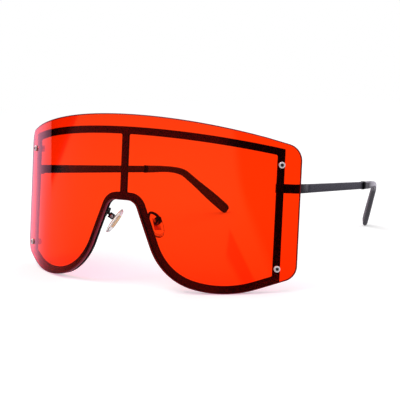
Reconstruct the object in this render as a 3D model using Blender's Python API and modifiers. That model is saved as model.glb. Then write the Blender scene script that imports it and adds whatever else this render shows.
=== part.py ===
"""Shield sunglasses: one bent lens screwed to a flat-bar metal front, with folding temples.

Metres, +Z up. The glasses stand on the two lobes of the lens and the ends of the temples.
The pieces are laid out in the wearer's frame: +X to the wearer's left, +Y from the lens
to the ears, +Z up, heights measured from the lowest points of the lens. A parent empty
then leans that frame back until the lobes and the temple ends share one level.
"""

from math import atan2, ceil, cos, hypot, pi, radians, sin, sqrt, tan

import bmesh
import bpy
from mathutils import Matrix, Vector

MM = 0.001

# Lens: a flat sheet bent to a cylinder, sizes along the bend and up the sheet
SHEET_RADIUS = 106.0 * MM
LENS_THICKNESS = 1.6 * MM
LENS_HALF_WIDTH = 80.0 * MM
LENS_HEIGHT = 74.6 * MM
LENS_CROWN_RADIUS = 290.0 * MM
LENS_TOP_CORNER = 7.5 * MM
LENS_LOW_CORNER = 6.6 * MM

# Lower edge of the lens: nose arch and lobes, corners as shares of half width and arch height
BRIDGE_DEPTH = 37.4 * MM
ARCH_CORNER = 5.1 * MM
LOBE_INNER_ROUND = 28.5 * MM
LOBE_OUTER_ROUND = 57.0 * MM
ARCH_SHOULDER_SHARES = (0.084, 1.0)
LOBE_INNER_SHARES = (0.263, 0.118)
LOBE_OUTER_SHARES = (0.614, -0.05)
LOW_CORNER_SHARES = (1.0, 0.228)

# Metal front: flat bars brazed together in one bent sheet behind the lens
BAR_WIDTH = 3.2 * MM
BAR_THICKNESS = 1.2 * MM
LENS_TO_BAR_GAP = 0.3 * MM
BRAZE_GAP = 0.2 * MM
TOP_BAR_DROP = 7.1 * MM
TOP_BAR_CROWN_RADIUS = 418.0 * MM
SIDE_BAR_INSET = 8.8 * MM
RIM_WIDTH = 3.1 * MM
RIM_INSET = 0.2 * MM

# Fasteners through the lens and the side bars
UPPER_SCREW_DROP = 3.8 * MM
LOWER_SCREW_RISE = 2.9 * MM
SCREW_RADIUS = 0.7 * MM
SCREW_HEAD_RADIUS = 1.4 * MM
SCREW_HEAD_HEIGHT = 0.75 * MM
SOCKET_RADIUS = 0.6 * MM
SOCKET_DEPTH = 0.4 * MM
SOCKET_FLOOR_SHARE = 0.9
HEAD_BRIM_SHARE = 0.33
HEAD_CHAMFER_SHARE = 0.33
THREAD_END = 0.3 * MM
RUNNING_FIT = 0.06 * MM
SEAT_GAP = 0.1 * MM
BUSHING_WALL = 0.3 * MM
NUT_RADIUS = 1.5 * MM
NUT_HEIGHT = 1.3 * MM

# Temples: straight metal arm, its toe-in and its fall towards the ear
ARM_HEIGHT_SHARE = 0.616
ARM_TOE_IN = radians(4.87)
ARM_FALL = radians(0.56)
ARM_THICKNESS = 1.2 * MM
ARM_HINGE_HEIGHT = 3.85 * MM
ARM_END_HEIGHT = 3.4 * MM
ARM_LENGTH = 67.4 * MM
ARM_EDGE_ROUND = 0.15 * MM
TONGUE_LENGTH = 5.0 * MM
TONGUE_HEIGHT = 2.2 * MM

# End pieces: a strip behind each side bar that turns back into the temple line
END_PIECE_REACH = 7.55 * MM
END_PIECE_TURN = 2.8 * MM
HINGE_SETBACK = 11.35 * MM

# Hinge: three knuckles on one screw, inside the temple line
KNUCKLE_STACK_HEIGHT = 2.6 * MM
KNUCKLE_RADIUS = 1.3 * MM
KNUCKLE_GAP = 0.1 * MM
MIDDLE_KNUCKLE_SHARE = 0.36
HINGE_PIN_RADIUS = 0.55 * MM
HINGE_HEAD_RADIUS = 0.95 * MM
HINGE_HEAD_HEIGHT = 0.35 * MM
HINGE_SLOT_WIDTH = 0.25 * MM
HINGE_SLOT_DEPTH = 0.2 * MM
LEAF_LENGTH = 5.0 * MM
LEAF_THICKNESS = 0.8 * MM
STOP_GAP = 0.15 * MM
WELD_SINK = 0.2 * MM

# Temple tips: sleeve over the arm, a bend inward and down, then a flat paddle
TIP_THICKNESS = 2.6 * MM
TIP_HEIGHT = 5.2 * MM
TIP_STRAIGHT = 5.7 * MM
TIP_BEND_IN = 5.0 * MM
TIP_BEND_BACK = 24.2 * MM
TIP_BEND_FALL = 2.7 * MM
TIP_BEND_EASE = 6.1 * MM
TIP_LEG = 31.8 * MM
TIP_LEG_IN = radians(28.1)
TIP_LEG_FALL = radians(36.3)
TIP_END_ROUND = 2.4 * MM
TIP_END_SQUARE_SHARE = 0.55
TIP_END_THIN_SHARE = 0.6
TIP_EDGE_ROUND = 1.1 * MM
TIP_HEIGHT_SHARES = ((0.0, 0.76), (0.09, 0.71), (0.3, 0.62), (0.55, 0.74), (0.85, 1.0), (1.0, 0.97))
TIP_THICKNESS_SHARES = ((0.0, 1.0), (0.09, 0.98), (0.5, 0.95), (1.0, 0.95))

# Nose pads: place and lean of the pad on the wearer's left
PAD_SIDE = 11.25 * MM
PAD_BACK = 11.85 * MM
PAD_HEIGHT_SHARE = 0.718
PAD_LENGTH = 12.4 * MM
PAD_WIDTH = 7.2 * MM
PAD_SKIN_BULGE = 1.5 * MM
PAD_BACK_BULGE = 0.9 * MM
PAD_SPREAD = radians(29.3)
PAD_LEAN = radians(17.4)
PAD_SPLAY = radians(27.3)
PAD_SEAT_RISE = 1.0 * MM
PAD_SQUARENESS = 1.25
PAD_EDGE_FULLNESS = 0.55

# Pad mounting: cup on the guard arm, lug on the pad's metal insert, and a screw across
CUP_LENGTH = 2.4 * MM
CUP_WIDTH = 2.4 * MM
CUP_FRONT = 0.9 * MM
CUP_WALL = 0.5 * MM
LUG_THICKNESS = 1.0 * MM
LUG_RADIUS = 0.8 * MM
ROCK_GAP = 0.3 * MM
PAD_SCREW_RADIUS = 0.4 * MM
PAD_SCREW_HEAD_RADIUS = 0.7 * MM
PAD_SCREW_HEAD_HEIGHT = 0.35 * MM
INSERT_LENGTH = 5.7 * MM
INSERT_WIDTH = 3.2 * MM
INSERT_THICKNESS = 0.45 * MM
GUARD_WIRE_RADIUS = 0.6 * MM
GUARD_FOOT_SHARE = 0.77
GUARD_LEAD = 1.7 * MM
GUARD_RISE = 3.3 * MM
GUARD_SWELL = 1.5 * MM
GUARD_EASE = 1.9 * MM

# Mesh fineness
ARC_STEP = radians(11.0)
EDGE_STEP = 5.0 * MM
COLUMN_STEP = 4.0 * MM
ROUND_SIDES = 16
DOME_STEPS = 3
TIP_BEND_STEPS = 8
TIP_LEG_STEPS = 6
TIP_END_STEPS = 4
TIP_CORNER_STEPS = 2
WIRE_STEPS = 6
SETTLING_STEPS = 8
OVERRUN = 1.0 * MM
WELD = 0.001 * MM

# Height of the nose arch under the bridge of the lens
ARCH_HEIGHT = LENS_HEIGHT - BRIDGE_DEPTH

# Depths behind the outer face of the lens
BAR_FRONT = LENS_THICKNESS + LENS_TO_BAR_GAP
BAR_BACK = BAR_FRONT + BAR_THICKNESS
SIDE_BAR_CENTRE = LENS_HALF_WIDTH - SIDE_BAR_INSET
FRAME_HALF_WIDTH = SIDE_BAR_CENTRE + BAR_WIDTH / 2


def start_collections():
    """Empty the file and make one collection for the parts and one for the cutters."""
    for old in list(bpy.data.objects):
        bpy.data.objects.remove(old, do_unlink=True)
    made = []
    for name in ("shield_sunglasses", "cutters"):
        collection = bpy.data.collections.new(name)
        bpy.context.scene.collection.children.link(collection)
        made.append(collection)
    return made


PARTS, CUTTERS = start_collections()


def material(name, colour, roughness, metallic=0.0, transmission=0.0):
    made = bpy.data.materials.new(name)
    made.use_nodes = True
    shader = made.node_tree.nodes["Principled BSDF"]
    shader.inputs["Base Color"].default_value = (*colour, 1.0)
    shader.inputs["Roughness"].default_value = roughness
    shader.inputs["Metallic"].default_value = metallic
    shader.inputs["Transmission Weight"].default_value = transmission
    made.diffuse_color = (*colour, 1.0)
    return made


MATERIALS = {
    "red_lens": material("red_lens", (1.0, 0.05, 0.01), 0.05, transmission=0.9),
    "black_metal": material("black_metal", (0.012, 0.012, 0.015), 0.3, metallic=0.6),
    "gunmetal": material("gunmetal", (0.075, 0.08, 0.1), 0.35, metallic=0.8),
    "black_plastic": material("black_plastic", (0.015, 0.015, 0.02), 0.25),
    "steel": material("steel", (0.75, 0.75, 0.76), 0.2, metallic=1.0),
    "gold": material("gold", (0.83, 0.6, 0.27), 0.3, metallic=1.0),
    "clear_silicone": material("clear_silicone", (0.93, 0.92, 0.92), 0.15, transmission=0.8),
    "clear_nylon": material("clear_nylon", (0.9, 0.9, 0.9), 0.3, transmission=0.5),
}


def link(name, mesh, collection=PARTS):
    made = bpy.data.objects.new(name, mesh)
    collection.objects.link(made)
    return made


def finish(made, finish_name, parent, smooth_angle=radians(35.0)):
    """Give a finished part its material, its parent and smooth rounds."""
    made.data.materials.clear()
    made.data.materials.append(MATERIALS[finish_name])
    made.data.shade_smooth()
    made.data.set_sharp_from_angle(angle=smooth_angle)
    made.parent = parent
    return made


def bake(made):
    """Replace an object's modifiers or curve by the mesh that they make."""
    bpy.context.view_layer.update()
    evaluated = made.evaluated_get(bpy.context.evaluated_depsgraph_get())
    mesh = bpy.data.meshes.new_from_object(evaluated)
    shape = bmesh.new()
    shape.from_mesh(mesh)
    bmesh.ops.remove_doubles(shape, verts=shape.verts, dist=WELD)
    shape.to_mesh(mesh)
    shape.free()
    name, place, collection = made.name, made.matrix_world.copy(), made.users_collection[0]
    bpy.data.objects.remove(made, do_unlink=True)
    fresh = link(name, mesh, collection)
    fresh.matrix_world = place
    return fresh


def reshape(mesh, change, flip_faces=False):
    """Move every vertex of a mesh by a rule; a rule that mirrors also flips the faces."""
    shape = bmesh.new()
    shape.from_mesh(mesh)
    for vertex in shape.verts:
        vertex.co = change(vertex.co)
    if flip_faces:
        bmesh.ops.reverse_faces(shape, faces=shape.faces)
    shape.to_mesh(mesh)
    shape.free()
    return mesh


def combine(body, others, operation):
    """Join or cut one body with others by Boolean and return the plain mesh object."""
    for other in others:
        cut = body.modifiers.new(other.name, "BOOLEAN")
        cut.operation = operation
        cut.solver = "EXACT"
        cut.object = other
        other.hide_render = True
        other.display_type = "WIRE"
    body = bake(body)
    for other in others:
        bpy.data.objects.remove(other, do_unlink=True)
    return body


def mirrored(mesh, name):
    """A copy of a mesh for the other side of the face."""
    copy = mesh.copy()
    copy.name = name
    return reshape(copy, lambda point: Vector((-point.x, point.y, point.z)), flip_faces=True)


# Outlines


def arc_at_corner(before, corner, after, radius):
    """Points of the arc that rounds a corner, the radius limited by the two sides."""
    back = before - corner
    ahead = after - corner
    half_turn = (pi - back.angle(ahead)) / 2
    if radius == 0 or half_turn < WELD:
        return [corner]
    reach = min(radius * tan(half_turn), back.length / 2, ahead.length / 2)
    radius = reach / tan(half_turn)
    centre = corner + (back.normalized() + ahead.normalized()).normalized() * radius / cos(half_turn)
    start = corner + back.normalized() * reach - centre
    steps = max(ceil(2 * half_turn / ARC_STEP), ceil(2 * half_turn * radius / EDGE_STEP))
    side = 1 if back.cross(ahead) < 0 else -1
    turn = side * 2 * half_turn / steps
    return [centre + Matrix.Rotation(turn * step, 2) @ start for step in range(steps + 1)]


def rounded(corners, closed=True):
    """A path through corners (point, radius), each corner turned into an arc."""
    points = []
    count = len(corners)
    for index, (corner, radius) in enumerate(corners):
        at_end = not closed and index in (0, count - 1)
        if at_end:
            points.append(corner)
            continue
        before = corners[index - 1][0]
        after = corners[(index + 1) % count][0]
        points += arc_at_corner(before, corner, after, radius)
    return points


def offset_path(points, distance):
    """A copy of an open path moved to its left by a distance."""
    moved = []
    for index, point in enumerate(points):
        before = points[max(index - 1, 0)]
        after = points[min(index + 1, len(points) - 1)]
        heading = (after - before).normalized()
        moved.append(point + Vector((-heading.y, heading.x)) * distance)
    return moved


def clipped(points, limit):
    """The stretch of a path between -limit and +limit along the bend."""
    kept = []
    for start, end in zip(points, points[1:]):
        for edge in (-limit, limit):
            if (start.x - edge) * (end.x - edge) < 0:
                kept.append(start.lerp(end, (edge - start.x) / (end.x - start.x)))
        if abs(end.x) < limit:
            kept.append(end)
    return kept


def height_at(points, along):
    """Height of a path at a place along the bend."""
    for start, end in zip(points, points[1:]):
        if min(start.x, end.x) <= along <= max(start.x, end.x) and start.x != end.x:
            return start.lerp(end, (along - start.x) / (end.x - start.x)).y
    return points[-1].y


def flank_at(points, height):
    """Place along the bend where a path comes down through a height, left of the nose."""
    for start, end in zip(points, points[1:]):
        if start.x > 0 and start.y > height >= end.y:
            return start.lerp(end, (height - start.y) / (end.y - start.y)).x
    return points[-1].x


def crown(along, middle_height, radius):
    """Height of a crowned edge at a place along the bend."""
    return middle_height - along * along / (2 * radius)


def share_point(shares):
    return Vector((shares[0] * LENS_HALF_WIDTH, shares[1] * ARCH_HEIGHT))


def flip(corners):
    """The same corners on the other side of the nose, in reverse order."""
    return [(Vector((-point.x, point.y)), radius) for point, radius in reversed(corners)]


LOWER_EDGE_CORNERS = [
    (share_point(ARCH_SHOULDER_SHARES), ARCH_CORNER),
    (share_point(LOBE_INNER_SHARES), LOBE_INNER_ROUND),
    (share_point(LOBE_OUTER_SHARES), LOBE_OUTER_ROUND),
    (share_point(LOW_CORNER_SHARES), LENS_LOW_CORNER),
]


TOP_CORNER = Vector((LENS_HALF_WIDTH, crown(LENS_HALF_WIDTH, LENS_HEIGHT, LENS_CROWN_RADIUS)))


def lens_outline():
    """Closed outline of the flat lens, from the nose arch round by the wearer's left."""
    crown_end = LENS_HALF_WIDTH - 2 * LENS_TOP_CORNER
    crown_steps = ceil(2 * crown_end / (2 * EDGE_STEP))
    edge = []
    for step in range(crown_steps + 1):
        along = crown_end - 2 * crown_end * step / crown_steps
        edge.append((Vector((along, crown(along, LENS_HEIGHT, LENS_CROWN_RADIUS))), 0))
    side = LOWER_EDGE_CORNERS + [(TOP_CORNER, LENS_TOP_CORNER)]
    return rounded(side + edge + flip(side))


def lower_edge():
    """Open path down one side of the lens, along its lower edge and up the other side."""
    side = LOWER_EDGE_CORNERS + [(TOP_CORNER, 0)]
    return rounded(flip(side) + side, closed=False)


LOWER_EDGE = lower_edge()
RIM_LOW = clipped(offset_path(LOWER_EDGE, RIM_INSET), FRAME_HALF_WIDTH)
RIM_TOP = clipped(offset_path(LOWER_EDGE, RIM_INSET + RIM_WIDTH), FRAME_HALF_WIDTH)
TOP_BAR_MIDDLE = LENS_HEIGHT - TOP_BAR_DROP


def top_bar_centre(along):
    return crown(along, TOP_BAR_MIDDLE, TOP_BAR_CROWN_RADIUS)


# The bent sheet


def sheet_point(along, height, depth):
    """Place on the bent sheet: along the bend, up, and behind the lens's outer face."""
    angle = along / SHEET_RADIUS
    radius = SHEET_RADIUS - depth
    return Vector((radius * sin(angle), SHEET_RADIUS - radius * cos(angle), height))


def sheet_place(along, height, depth):
    """Frame on the sheet: X along the bend, Y up, Z out of the front."""
    angle = along / SHEET_RADIUS
    tangent = Vector((cos(angle), sin(angle), 0))
    outward = Vector((sin(angle), -cos(angle), 0))
    turn = Matrix((tangent, Vector((0, 0, 1)), outward)).transposed().to_4x4()
    return Matrix.Translation(sheet_point(along, height, depth)) @ turn


def filled(name, outline, thickness):
    """A flat plate in X and Y from its closed outline, centred on Z."""
    curve = bpy.data.curves.new(name, "CURVE")
    curve.dimensions = "2D"
    curve.fill_mode = "BOTH"
    curve.extrude = thickness / 2
    spline = curve.splines.new("POLY")
    spline.points.add(len(outline) - 1)
    spline.use_cyclic_u = True
    for point, place in zip(spline.points, outline):
        point.co = (place.x, place.y, 0, 1)
    plate = bake(link(name, curve))
    shape = bmesh.new()
    shape.from_mesh(plate.data)
    bmesh.ops.recalc_face_normals(shape, faces=shape.faces)
    shape.to_mesh(plate.data)
    shape.free()
    return plate


def bent_plate(name, outline, front, thickness):
    """A plate cut flat, then bent with the sheet; front is its depth behind the lens face."""
    plate = filled(name, outline, thickness)
    shape = bmesh.new()
    shape.from_mesh(plate.data)
    columns = ceil(LENS_HALF_WIDTH / COLUMN_STEP)
    for column in range(-columns, columns + 1):
        everything = shape.verts[:] + shape.edges[:] + shape.faces[:]
        cut_at = Vector((column * COLUMN_STEP, 0, 0))
        bmesh.ops.bisect_plane(shape, geom=everything, dist=WELD, plane_co=cut_at, plane_no=(1, 0, 0))
    shape.to_mesh(plate.data)
    shape.free()
    middle = front + thickness / 2
    reshape(plate.data, lambda point: sheet_point(point.x, point.y, middle - point.z))
    return plate


def block(name, low, high):
    """A box between two corners."""
    size = high - low
    mesh = bpy.data.meshes.new(name)
    shape = bmesh.new()
    place = Matrix.Translation((low + high) / 2) @ Matrix.Diagonal((*size, 1))
    bmesh.ops.create_cube(shape, size=1.0, matrix=place)
    shape.to_mesh(mesh)
    shape.free()
    return link(name, mesh, CUTTERS)


def rod(name, radius, start, end, sides=ROUND_SIDES):
    """A solid cylinder between two points."""
    run = end - start
    turn = run.to_track_quat("Z", "Y").to_matrix().to_4x4()
    mesh = bpy.data.meshes.new(name)
    shape = bmesh.new()
    bmesh.ops.create_cone(shape, cap_ends=True, segments=sides, radius1=radius, radius2=radius,
                          depth=run.length, matrix=Matrix.Translation((start + end) / 2) @ turn)
    shape.to_mesh(mesh)
    shape.free()
    return link(name, mesh, CUTTERS)


def turned(name, profile, sides=ROUND_SIDES, closed=False):
    """A turned piece from its profile (radius, height), top to bottom down the outer side."""
    mesh = bpy.data.meshes.new(name)
    edges = [(index, index + 1) for index in range(len(profile) - 1)]
    if closed:
        edges.append((len(profile) - 1, 0))
    mesh.from_pydata([(radius, 0, height) for radius, height in profile], edges, [])
    piece = link(name, mesh)
    spin = piece.modifiers.new("turn", "SCREW")
    spin.steps = sides
    spin.render_steps = sides
    spin.use_merge_vertices = True
    spin.merge_threshold = WELD
    return bake(piece)


# Mirrored pairs and moving frames


SWAP_SIDES = Matrix.Diagonal((-1, 1, 1, 1))


def pivot_pair(name, place, parent):
    """Two empties, at a place on the wearer's left and at its mirror image."""
    pair = []
    for side, matrix in (("left", place), ("right", SWAP_SIDES @ place @ SWAP_SIDES)):
        empty = link(f"{name}_{side}", None)
        empty.empty_display_size = ARM_HINGE_HEIGHT
        empty.parent = parent
        empty.matrix_local = matrix
        pair.append(empty)
    return pair


def settle_pair(name, piece, finish_name, parents, place=Matrix.Identity(4)):
    """Name a finished left piece and make its mirror image on the right."""
    right_mesh = mirrored(piece.data, f"{name}_right")
    left = link(f"{name}_left", piece.data)
    right = link(f"{name}_right", right_mesh)
    left.data.name = left.name
    bpy.data.objects.remove(piece, do_unlink=True)
    places = (place, SWAP_SIDES @ place @ SWAP_SIDES)
    for made, parent, matrix in zip((left, right), parents, places):
        finish(made, finish_name, parent)
        made.matrix_local = matrix


# Lens and bars


def screw_heights():
    """Heights of the screws in a side bar, measured from its two ends."""
    upper = top_bar_edges(SIDE_BAR_CENTRE)[0] - UPPER_SCREW_DROP
    lower = height_at(RIM_TOP, SIDE_BAR_CENTRE) + LOWER_SCREW_RISE
    return {"upper": upper, "lower": lower}


def screw_hole_cutters(radius):
    """Rods through the sheet at the four screws."""
    rods = []
    for side in (-1, 1):
        for level, height in screw_heights().items():
            along = side * SIDE_BAR_CENTRE
            front = sheet_point(along, height, -OVERRUN)
            back = sheet_point(along, height, BAR_BACK + OVERRUN)
            rods.append(rod(f"cut_{level}_{side}", radius, front, back))
    return rods


def make_lens(parent):
    """Bent lens with four holes for the bushings."""
    lens = bent_plate("lens", lens_outline(), 0, LENS_THICKNESS)
    hole = SCREW_RADIUS + RUNNING_FIT + BUSHING_WALL + SEAT_GAP
    lens = combine(lens, screw_hole_cutters(hole), "DIFFERENCE")
    finish(lens, "red_lens", parent)


def bar_outline(low_path, high_path):
    return [*low_path, *reversed(high_path)]


def top_bar_edges(along):
    """Lower and upper edge heights of the top bar."""
    middle = top_bar_centre(along)
    return middle - BAR_WIDTH / 2, middle + BAR_WIDTH / 2


def even_places(low, high, step):
    """Evenly spaced places from low to high, no further apart than the step."""
    count = ceil((high - low) / step)
    return [low + (high - low) * index / count for index in range(count + 1)]


def make_top_bar(parent):
    """Crowned bar across the whole front, square at its ends."""
    places = even_places(-FRAME_HALF_WIDTH, FRAME_HALF_WIDTH, 2 * EDGE_STEP)
    low = [Vector((along, top_bar_edges(along)[0])) for along in places]
    high = [Vector((along, top_bar_edges(along)[1])) for along in places]
    bar = bent_plate("top_bar", bar_outline(low, high), BAR_FRONT, BAR_THICKNESS)
    finish(bar, "black_metal", parent)


def upright_outline(centre):
    """Outline of an upright bar between the lower rim and the top bar."""
    places = (centre - BAR_WIDTH / 2, centre, centre + BAR_WIDTH / 2)
    low = [Vector((along, height_at(RIM_TOP, along) + BRAZE_GAP)) for along in places]
    high = [Vector((along, top_bar_edges(along)[0] - BRAZE_GAP)) for along in places]
    return bar_outline(low, high)


def make_uprights(parent, parents):
    """Centre bar over the nose and the two side bars, which the lens screws pass."""
    centre = bent_plate("centre_bar", upright_outline(0), BAR_FRONT, BAR_THICKNESS)
    finish(centre, "black_metal", parent)
    side = bent_plate("side_bar", upright_outline(SIDE_BAR_CENTRE), BAR_FRONT, BAR_THICKNESS)
    side = combine(side, screw_hole_cutters(SCREW_RADIUS + RUNNING_FIT), "DIFFERENCE")
    settle_pair("side_bar", side, "black_metal", parents)


def make_lower_rim(parent):
    """Band that follows the lower edge of the lens over the nose and round both lobes."""
    rim = bent_plate("lower_rim", bar_outline(RIM_LOW, RIM_TOP), BAR_FRONT, BAR_THICKNESS)
    finish(rim, "black_metal", parent)


# Lens fasteners, each turned about its own Z axis, with Z out of the front


def lens_screw_mesh():
    """Domed screw with a round socket; Z 0 is the outer face of the lens."""
    seat = SEAT_GAP
    top = seat + SCREW_HEAD_HEIGHT
    brim = seat + SCREW_HEAD_HEIGHT * HEAD_BRIM_SHARE
    end = -(BAR_BACK + NUT_HEIGHT + THREAD_END)
    floor = top - SOCKET_DEPTH
    profile = [(0, floor), (SOCKET_RADIUS * SOCKET_FLOOR_SHARE, floor), (SOCKET_RADIUS, top)]
    for step in range(1, DOME_STEPS + 1):
        turn = step / DOME_STEPS * pi / 2
        reach = SOCKET_RADIUS + (SCREW_HEAD_RADIUS - SOCKET_RADIUS) * sin(turn)
        profile.append((reach, brim + (top - brim) * cos(turn)))
    profile += [(SCREW_HEAD_RADIUS, seat), (SCREW_RADIUS, seat)]
    profile += [(SCREW_RADIUS, end + THREAD_END / 2), (SCREW_RADIUS - THREAD_END / 2, end), (0, end)]
    return turned("lens_screw", profile)


def bushing_mesh():
    """Clear sleeve in the lens hole, with a flange between lens and bar."""
    inner = SCREW_RADIUS + RUNNING_FIT
    outer = inner + BUSHING_WALL
    flange = outer + BUSHING_WALL
    top = -SEAT_GAP / 2
    seat = -(LENS_THICKNESS + SEAT_GAP / 2)
    end = -(BAR_FRONT - SEAT_GAP / 2)
    profile = [(inner, top), (outer, top), (outer, seat), (flange, seat), (flange, end), (inner, end)]
    return turned("lens_bushing", profile, closed=True)


def nut_mesh():
    """Hexagon nut behind the side bar."""
    top = -(BAR_BACK + SEAT_GAP)
    nut = rod("lens_nut", NUT_RADIUS, Vector((0, 0, top - NUT_HEIGHT)), Vector((0, 0, top)), sides=6)
    bore = SCREW_RADIUS + RUNNING_FIT
    deep = Vector((0, 0, NUT_HEIGHT + OVERRUN))
    middle = Vector((0, 0, top))
    return combine(nut, [rod("cut_nut", bore, middle - deep, middle + deep)], "DIFFERENCE")


def make_fasteners(parents):
    """Screw, bushing and nut at each of the four screw places."""
    for level, height in screw_heights().items():
        place = sheet_place(SIDE_BAR_CENTRE, height, 0)
        settle_pair(f"lens_screw_{level}", lens_screw_mesh(), "steel", parents, place)
        settle_pair(f"lens_bushing_{level}", bushing_mesh(), "clear_nylon", parents, place)
        settle_pair(f"lens_nut_{level}", nut_mesh(), "steel", parents, place)


# Hinges and temples, modelled about the hinge axis: X outward, Y back along the arm, Z up

ARM_INNER = KNUCKLE_RADIUS + KNUCKLE_GAP
ARM_CENTRE = ARM_INNER + ARM_THICKNESS / 2
STRIP_DEPTH = BAR_BACK + SEAT_GAP + ARM_THICKNESS / 2


def strip_start():
    """Middle of the end piece behind the side bar, and the tangent of the sheet there."""
    height = ARM_HEIGHT_SHARE * LENS_HEIGHT
    place = sheet_place(SIDE_BAR_CENTRE, height, STRIP_DEPTH)
    return place.translation, place.col[0].to_3d()


def hinge_place():
    """Frame of the left hinge, found from the side bar along the end piece."""
    start, tangent = strip_start()
    turn = Matrix.Rotation(ARM_TOE_IN, 4, "Z") @ Matrix.Rotation(-ARM_FALL, 4, "X")
    corner = start + tangent * END_PIECE_REACH
    axis = corner + turn @ Vector((-ARM_CENTRE, HINGE_SETBACK, 0))
    return Matrix.Translation(axis) @ turn


HINGE_PLACE = hinge_place()
MIDDLE_TOP = KNUCKLE_STACK_HEIGHT * MIDDLE_KNUCKLE_SHARE / 2


def knuckle(name, low, high):
    """One hinge barrel between two heights."""
    return rod(name, KNUCKLE_RADIUS, Vector((0, 0, low)), Vector((0, 0, high)))


def leaf(name, low, high, side):
    """Plate from a knuckle to its strip; side is -1 ahead of the joint and 1 behind it."""
    inner = ARM_INNER - LEAF_THICKNESS
    reach = sorted((0, side * LEAF_LENGTH))
    return block(name, Vector((inner, reach[0], low)), Vector((ARM_INNER + WELD_SINK, reach[1], high)))


def bore_cutter():
    reach = Vector((0, 0, ARM_HINGE_HEIGHT))
    return rod("cut_bore", HINGE_PIN_RADIUS + RUNNING_FIT, -reach, reach)


def make_end_pieces(parents):
    """Strip from behind each side bar to the joint plane, with the two outer knuckles."""
    start, tangent = strip_start()
    inward = HINGE_PLACE.inverted()
    first = inward @ (start - tangent * BAR_WIDTH / 2)
    corner = inward @ (start + tangent * END_PIECE_REACH)
    route = [(first.to_2d(), 0), (corner.to_2d(), END_PIECE_TURN),
             (Vector((ARM_CENTRE, -STOP_GAP / 2)), 0)]
    centre = rounded(route, closed=False)
    outline = bar_outline(offset_path(centre, -ARM_THICKNESS / 2), offset_path(centre, ARM_THICKNESS / 2))
    strip = filled("end_piece", outline, ARM_HINGE_HEIGHT)
    top = KNUCKLE_STACK_HEIGHT / 2
    low = MIDDLE_TOP + KNUCKLE_GAP
    joined = []
    for name, bottom, high in (("upper", low, top), ("lower", -top, -low)):
        joined.append(knuckle(f"knuckle_{name}", bottom, high))
        joined.append(leaf(f"leaf_{name}", bottom, high, -1))
    strip = combine(strip, joined, "UNION")
    strip = combine(strip, [bore_cutter()], "DIFFERENCE")
    settle_pair("end_piece", strip, "black_metal", parents, HINGE_PLACE)


def make_hinge_screws(parents):
    """Slotted hinge screw that fills the three knuckles."""
    seat = KNUCKLE_STACK_HEIGHT / 2 + SEAT_GAP
    top = seat + HINGE_HEAD_HEIGHT
    end = -KNUCKLE_STACK_HEIGHT / 2
    chamfer = HINGE_SLOT_DEPTH / 2
    profile = [(0, top), (HINGE_HEAD_RADIUS - chamfer, top), (HINGE_HEAD_RADIUS, top - chamfer),
               (HINGE_HEAD_RADIUS, seat), (HINGE_PIN_RADIUS, seat), (HINGE_PIN_RADIUS, end), (0, end)]
    screw = turned("hinge_screw", profile)
    half = Vector((HINGE_HEAD_RADIUS + OVERRUN, HINGE_SLOT_WIDTH / 2, OVERRUN))
    middle = Vector((0, 0, top - HINGE_SLOT_DEPTH + OVERRUN))
    screw = combine(screw, [block("cut_slot", middle - half, middle + half)], "DIFFERENCE")
    settle_pair("hinge_screw", screw, "steel", parents, HINGE_PLACE)


def make_temple_arms(pivots):
    """Tapering flat arm with the middle knuckle ahead and a tongue for the tip behind."""
    start = STOP_GAP / 2
    sleeve = ARM_LENGTH + SEAT_GAP
    upper = [Vector((start, ARM_HINGE_HEIGHT / 2)), Vector((ARM_LENGTH, ARM_END_HEIGHT / 2)),
             Vector((ARM_LENGTH, TONGUE_HEIGHT / 2)), Vector((sleeve + TONGUE_LENGTH, TONGUE_HEIGHT / 2))]
    lower = [Vector((point.x, -point.y)) for point in upper]
    arm = filled("temple_arm", bar_outline(lower, upper), ARM_THICKNESS)
    reshape(arm.data, lambda point: Vector((ARM_CENTRE + point.z, point.x, point.y)))
    soften = arm.modifiers.new("soften", "BEVEL")
    soften.width = ARM_EDGE_ROUND
    soften.limit_method = "ANGLE"
    arm = bake(arm)
    joined = [knuckle("knuckle_middle", -MIDDLE_TOP, MIDDLE_TOP),
              leaf("leaf_middle", -MIDDLE_TOP, MIDDLE_TOP, 1)]
    arm = combine(arm, joined, "UNION")
    arm = combine(arm, [bore_cutter()], "DIFFERENCE")
    settle_pair("temple_arm", arm, "gunmetal", pivots)


# Temple tips


def share_along(table, place):
    """Value of a table of (place, value) at a place from 0 to 1, eased between entries."""
    for (start, low), (end, high) in zip(table, table[1:]):
        if start <= place <= end:
            part = (place - start) / (end - start)
            ease = part * part * (3 - 2 * part)
            return low + (high - low) * ease
    return table[-1][1]


def tip_route():
    """Centre line of the tip: straight sleeve, eased bend, straight leg."""
    mouth = Vector((ARM_CENTRE, ARM_LENGTH + SEAT_GAP, 0))
    bend = mouth + Vector((0, TIP_STRAIGHT, 0))
    leg = bend + Vector((-TIP_BEND_IN, TIP_BEND_BACK, -TIP_BEND_FALL))
    level = cos(TIP_LEG_FALL)
    heading = Vector((-sin(TIP_LEG_IN) * level, cos(TIP_LEG_IN) * level, -sin(TIP_LEG_FALL)))
    first = bend + Vector((0, TIP_BEND_EASE, 0))
    last = leg - heading * TIP_BEND_EASE
    points = [mouth, mouth.lerp(bend, 1 / 2)]
    for step in range(TIP_BEND_STEPS + 1):
        part = step / TIP_BEND_STEPS
        rest = 1 - part
        points.append(bend * rest ** 3 + first * 3 * rest ** 2 * part + last * 3 * rest * part ** 2
                      + leg * part ** 3)
    points += [leg + heading * (TIP_LEG - TIP_END_ROUND) * step / TIP_LEG_STEPS
               for step in range(1, TIP_LEG_STEPS + 1)]
    for step in range(1, TIP_END_STEPS + 1):
        turn = step / TIP_END_STEPS * pi / 2
        points.append(leg + heading * (TIP_LEG - TIP_END_ROUND + TIP_END_ROUND * sin(turn)))
    return points


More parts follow.
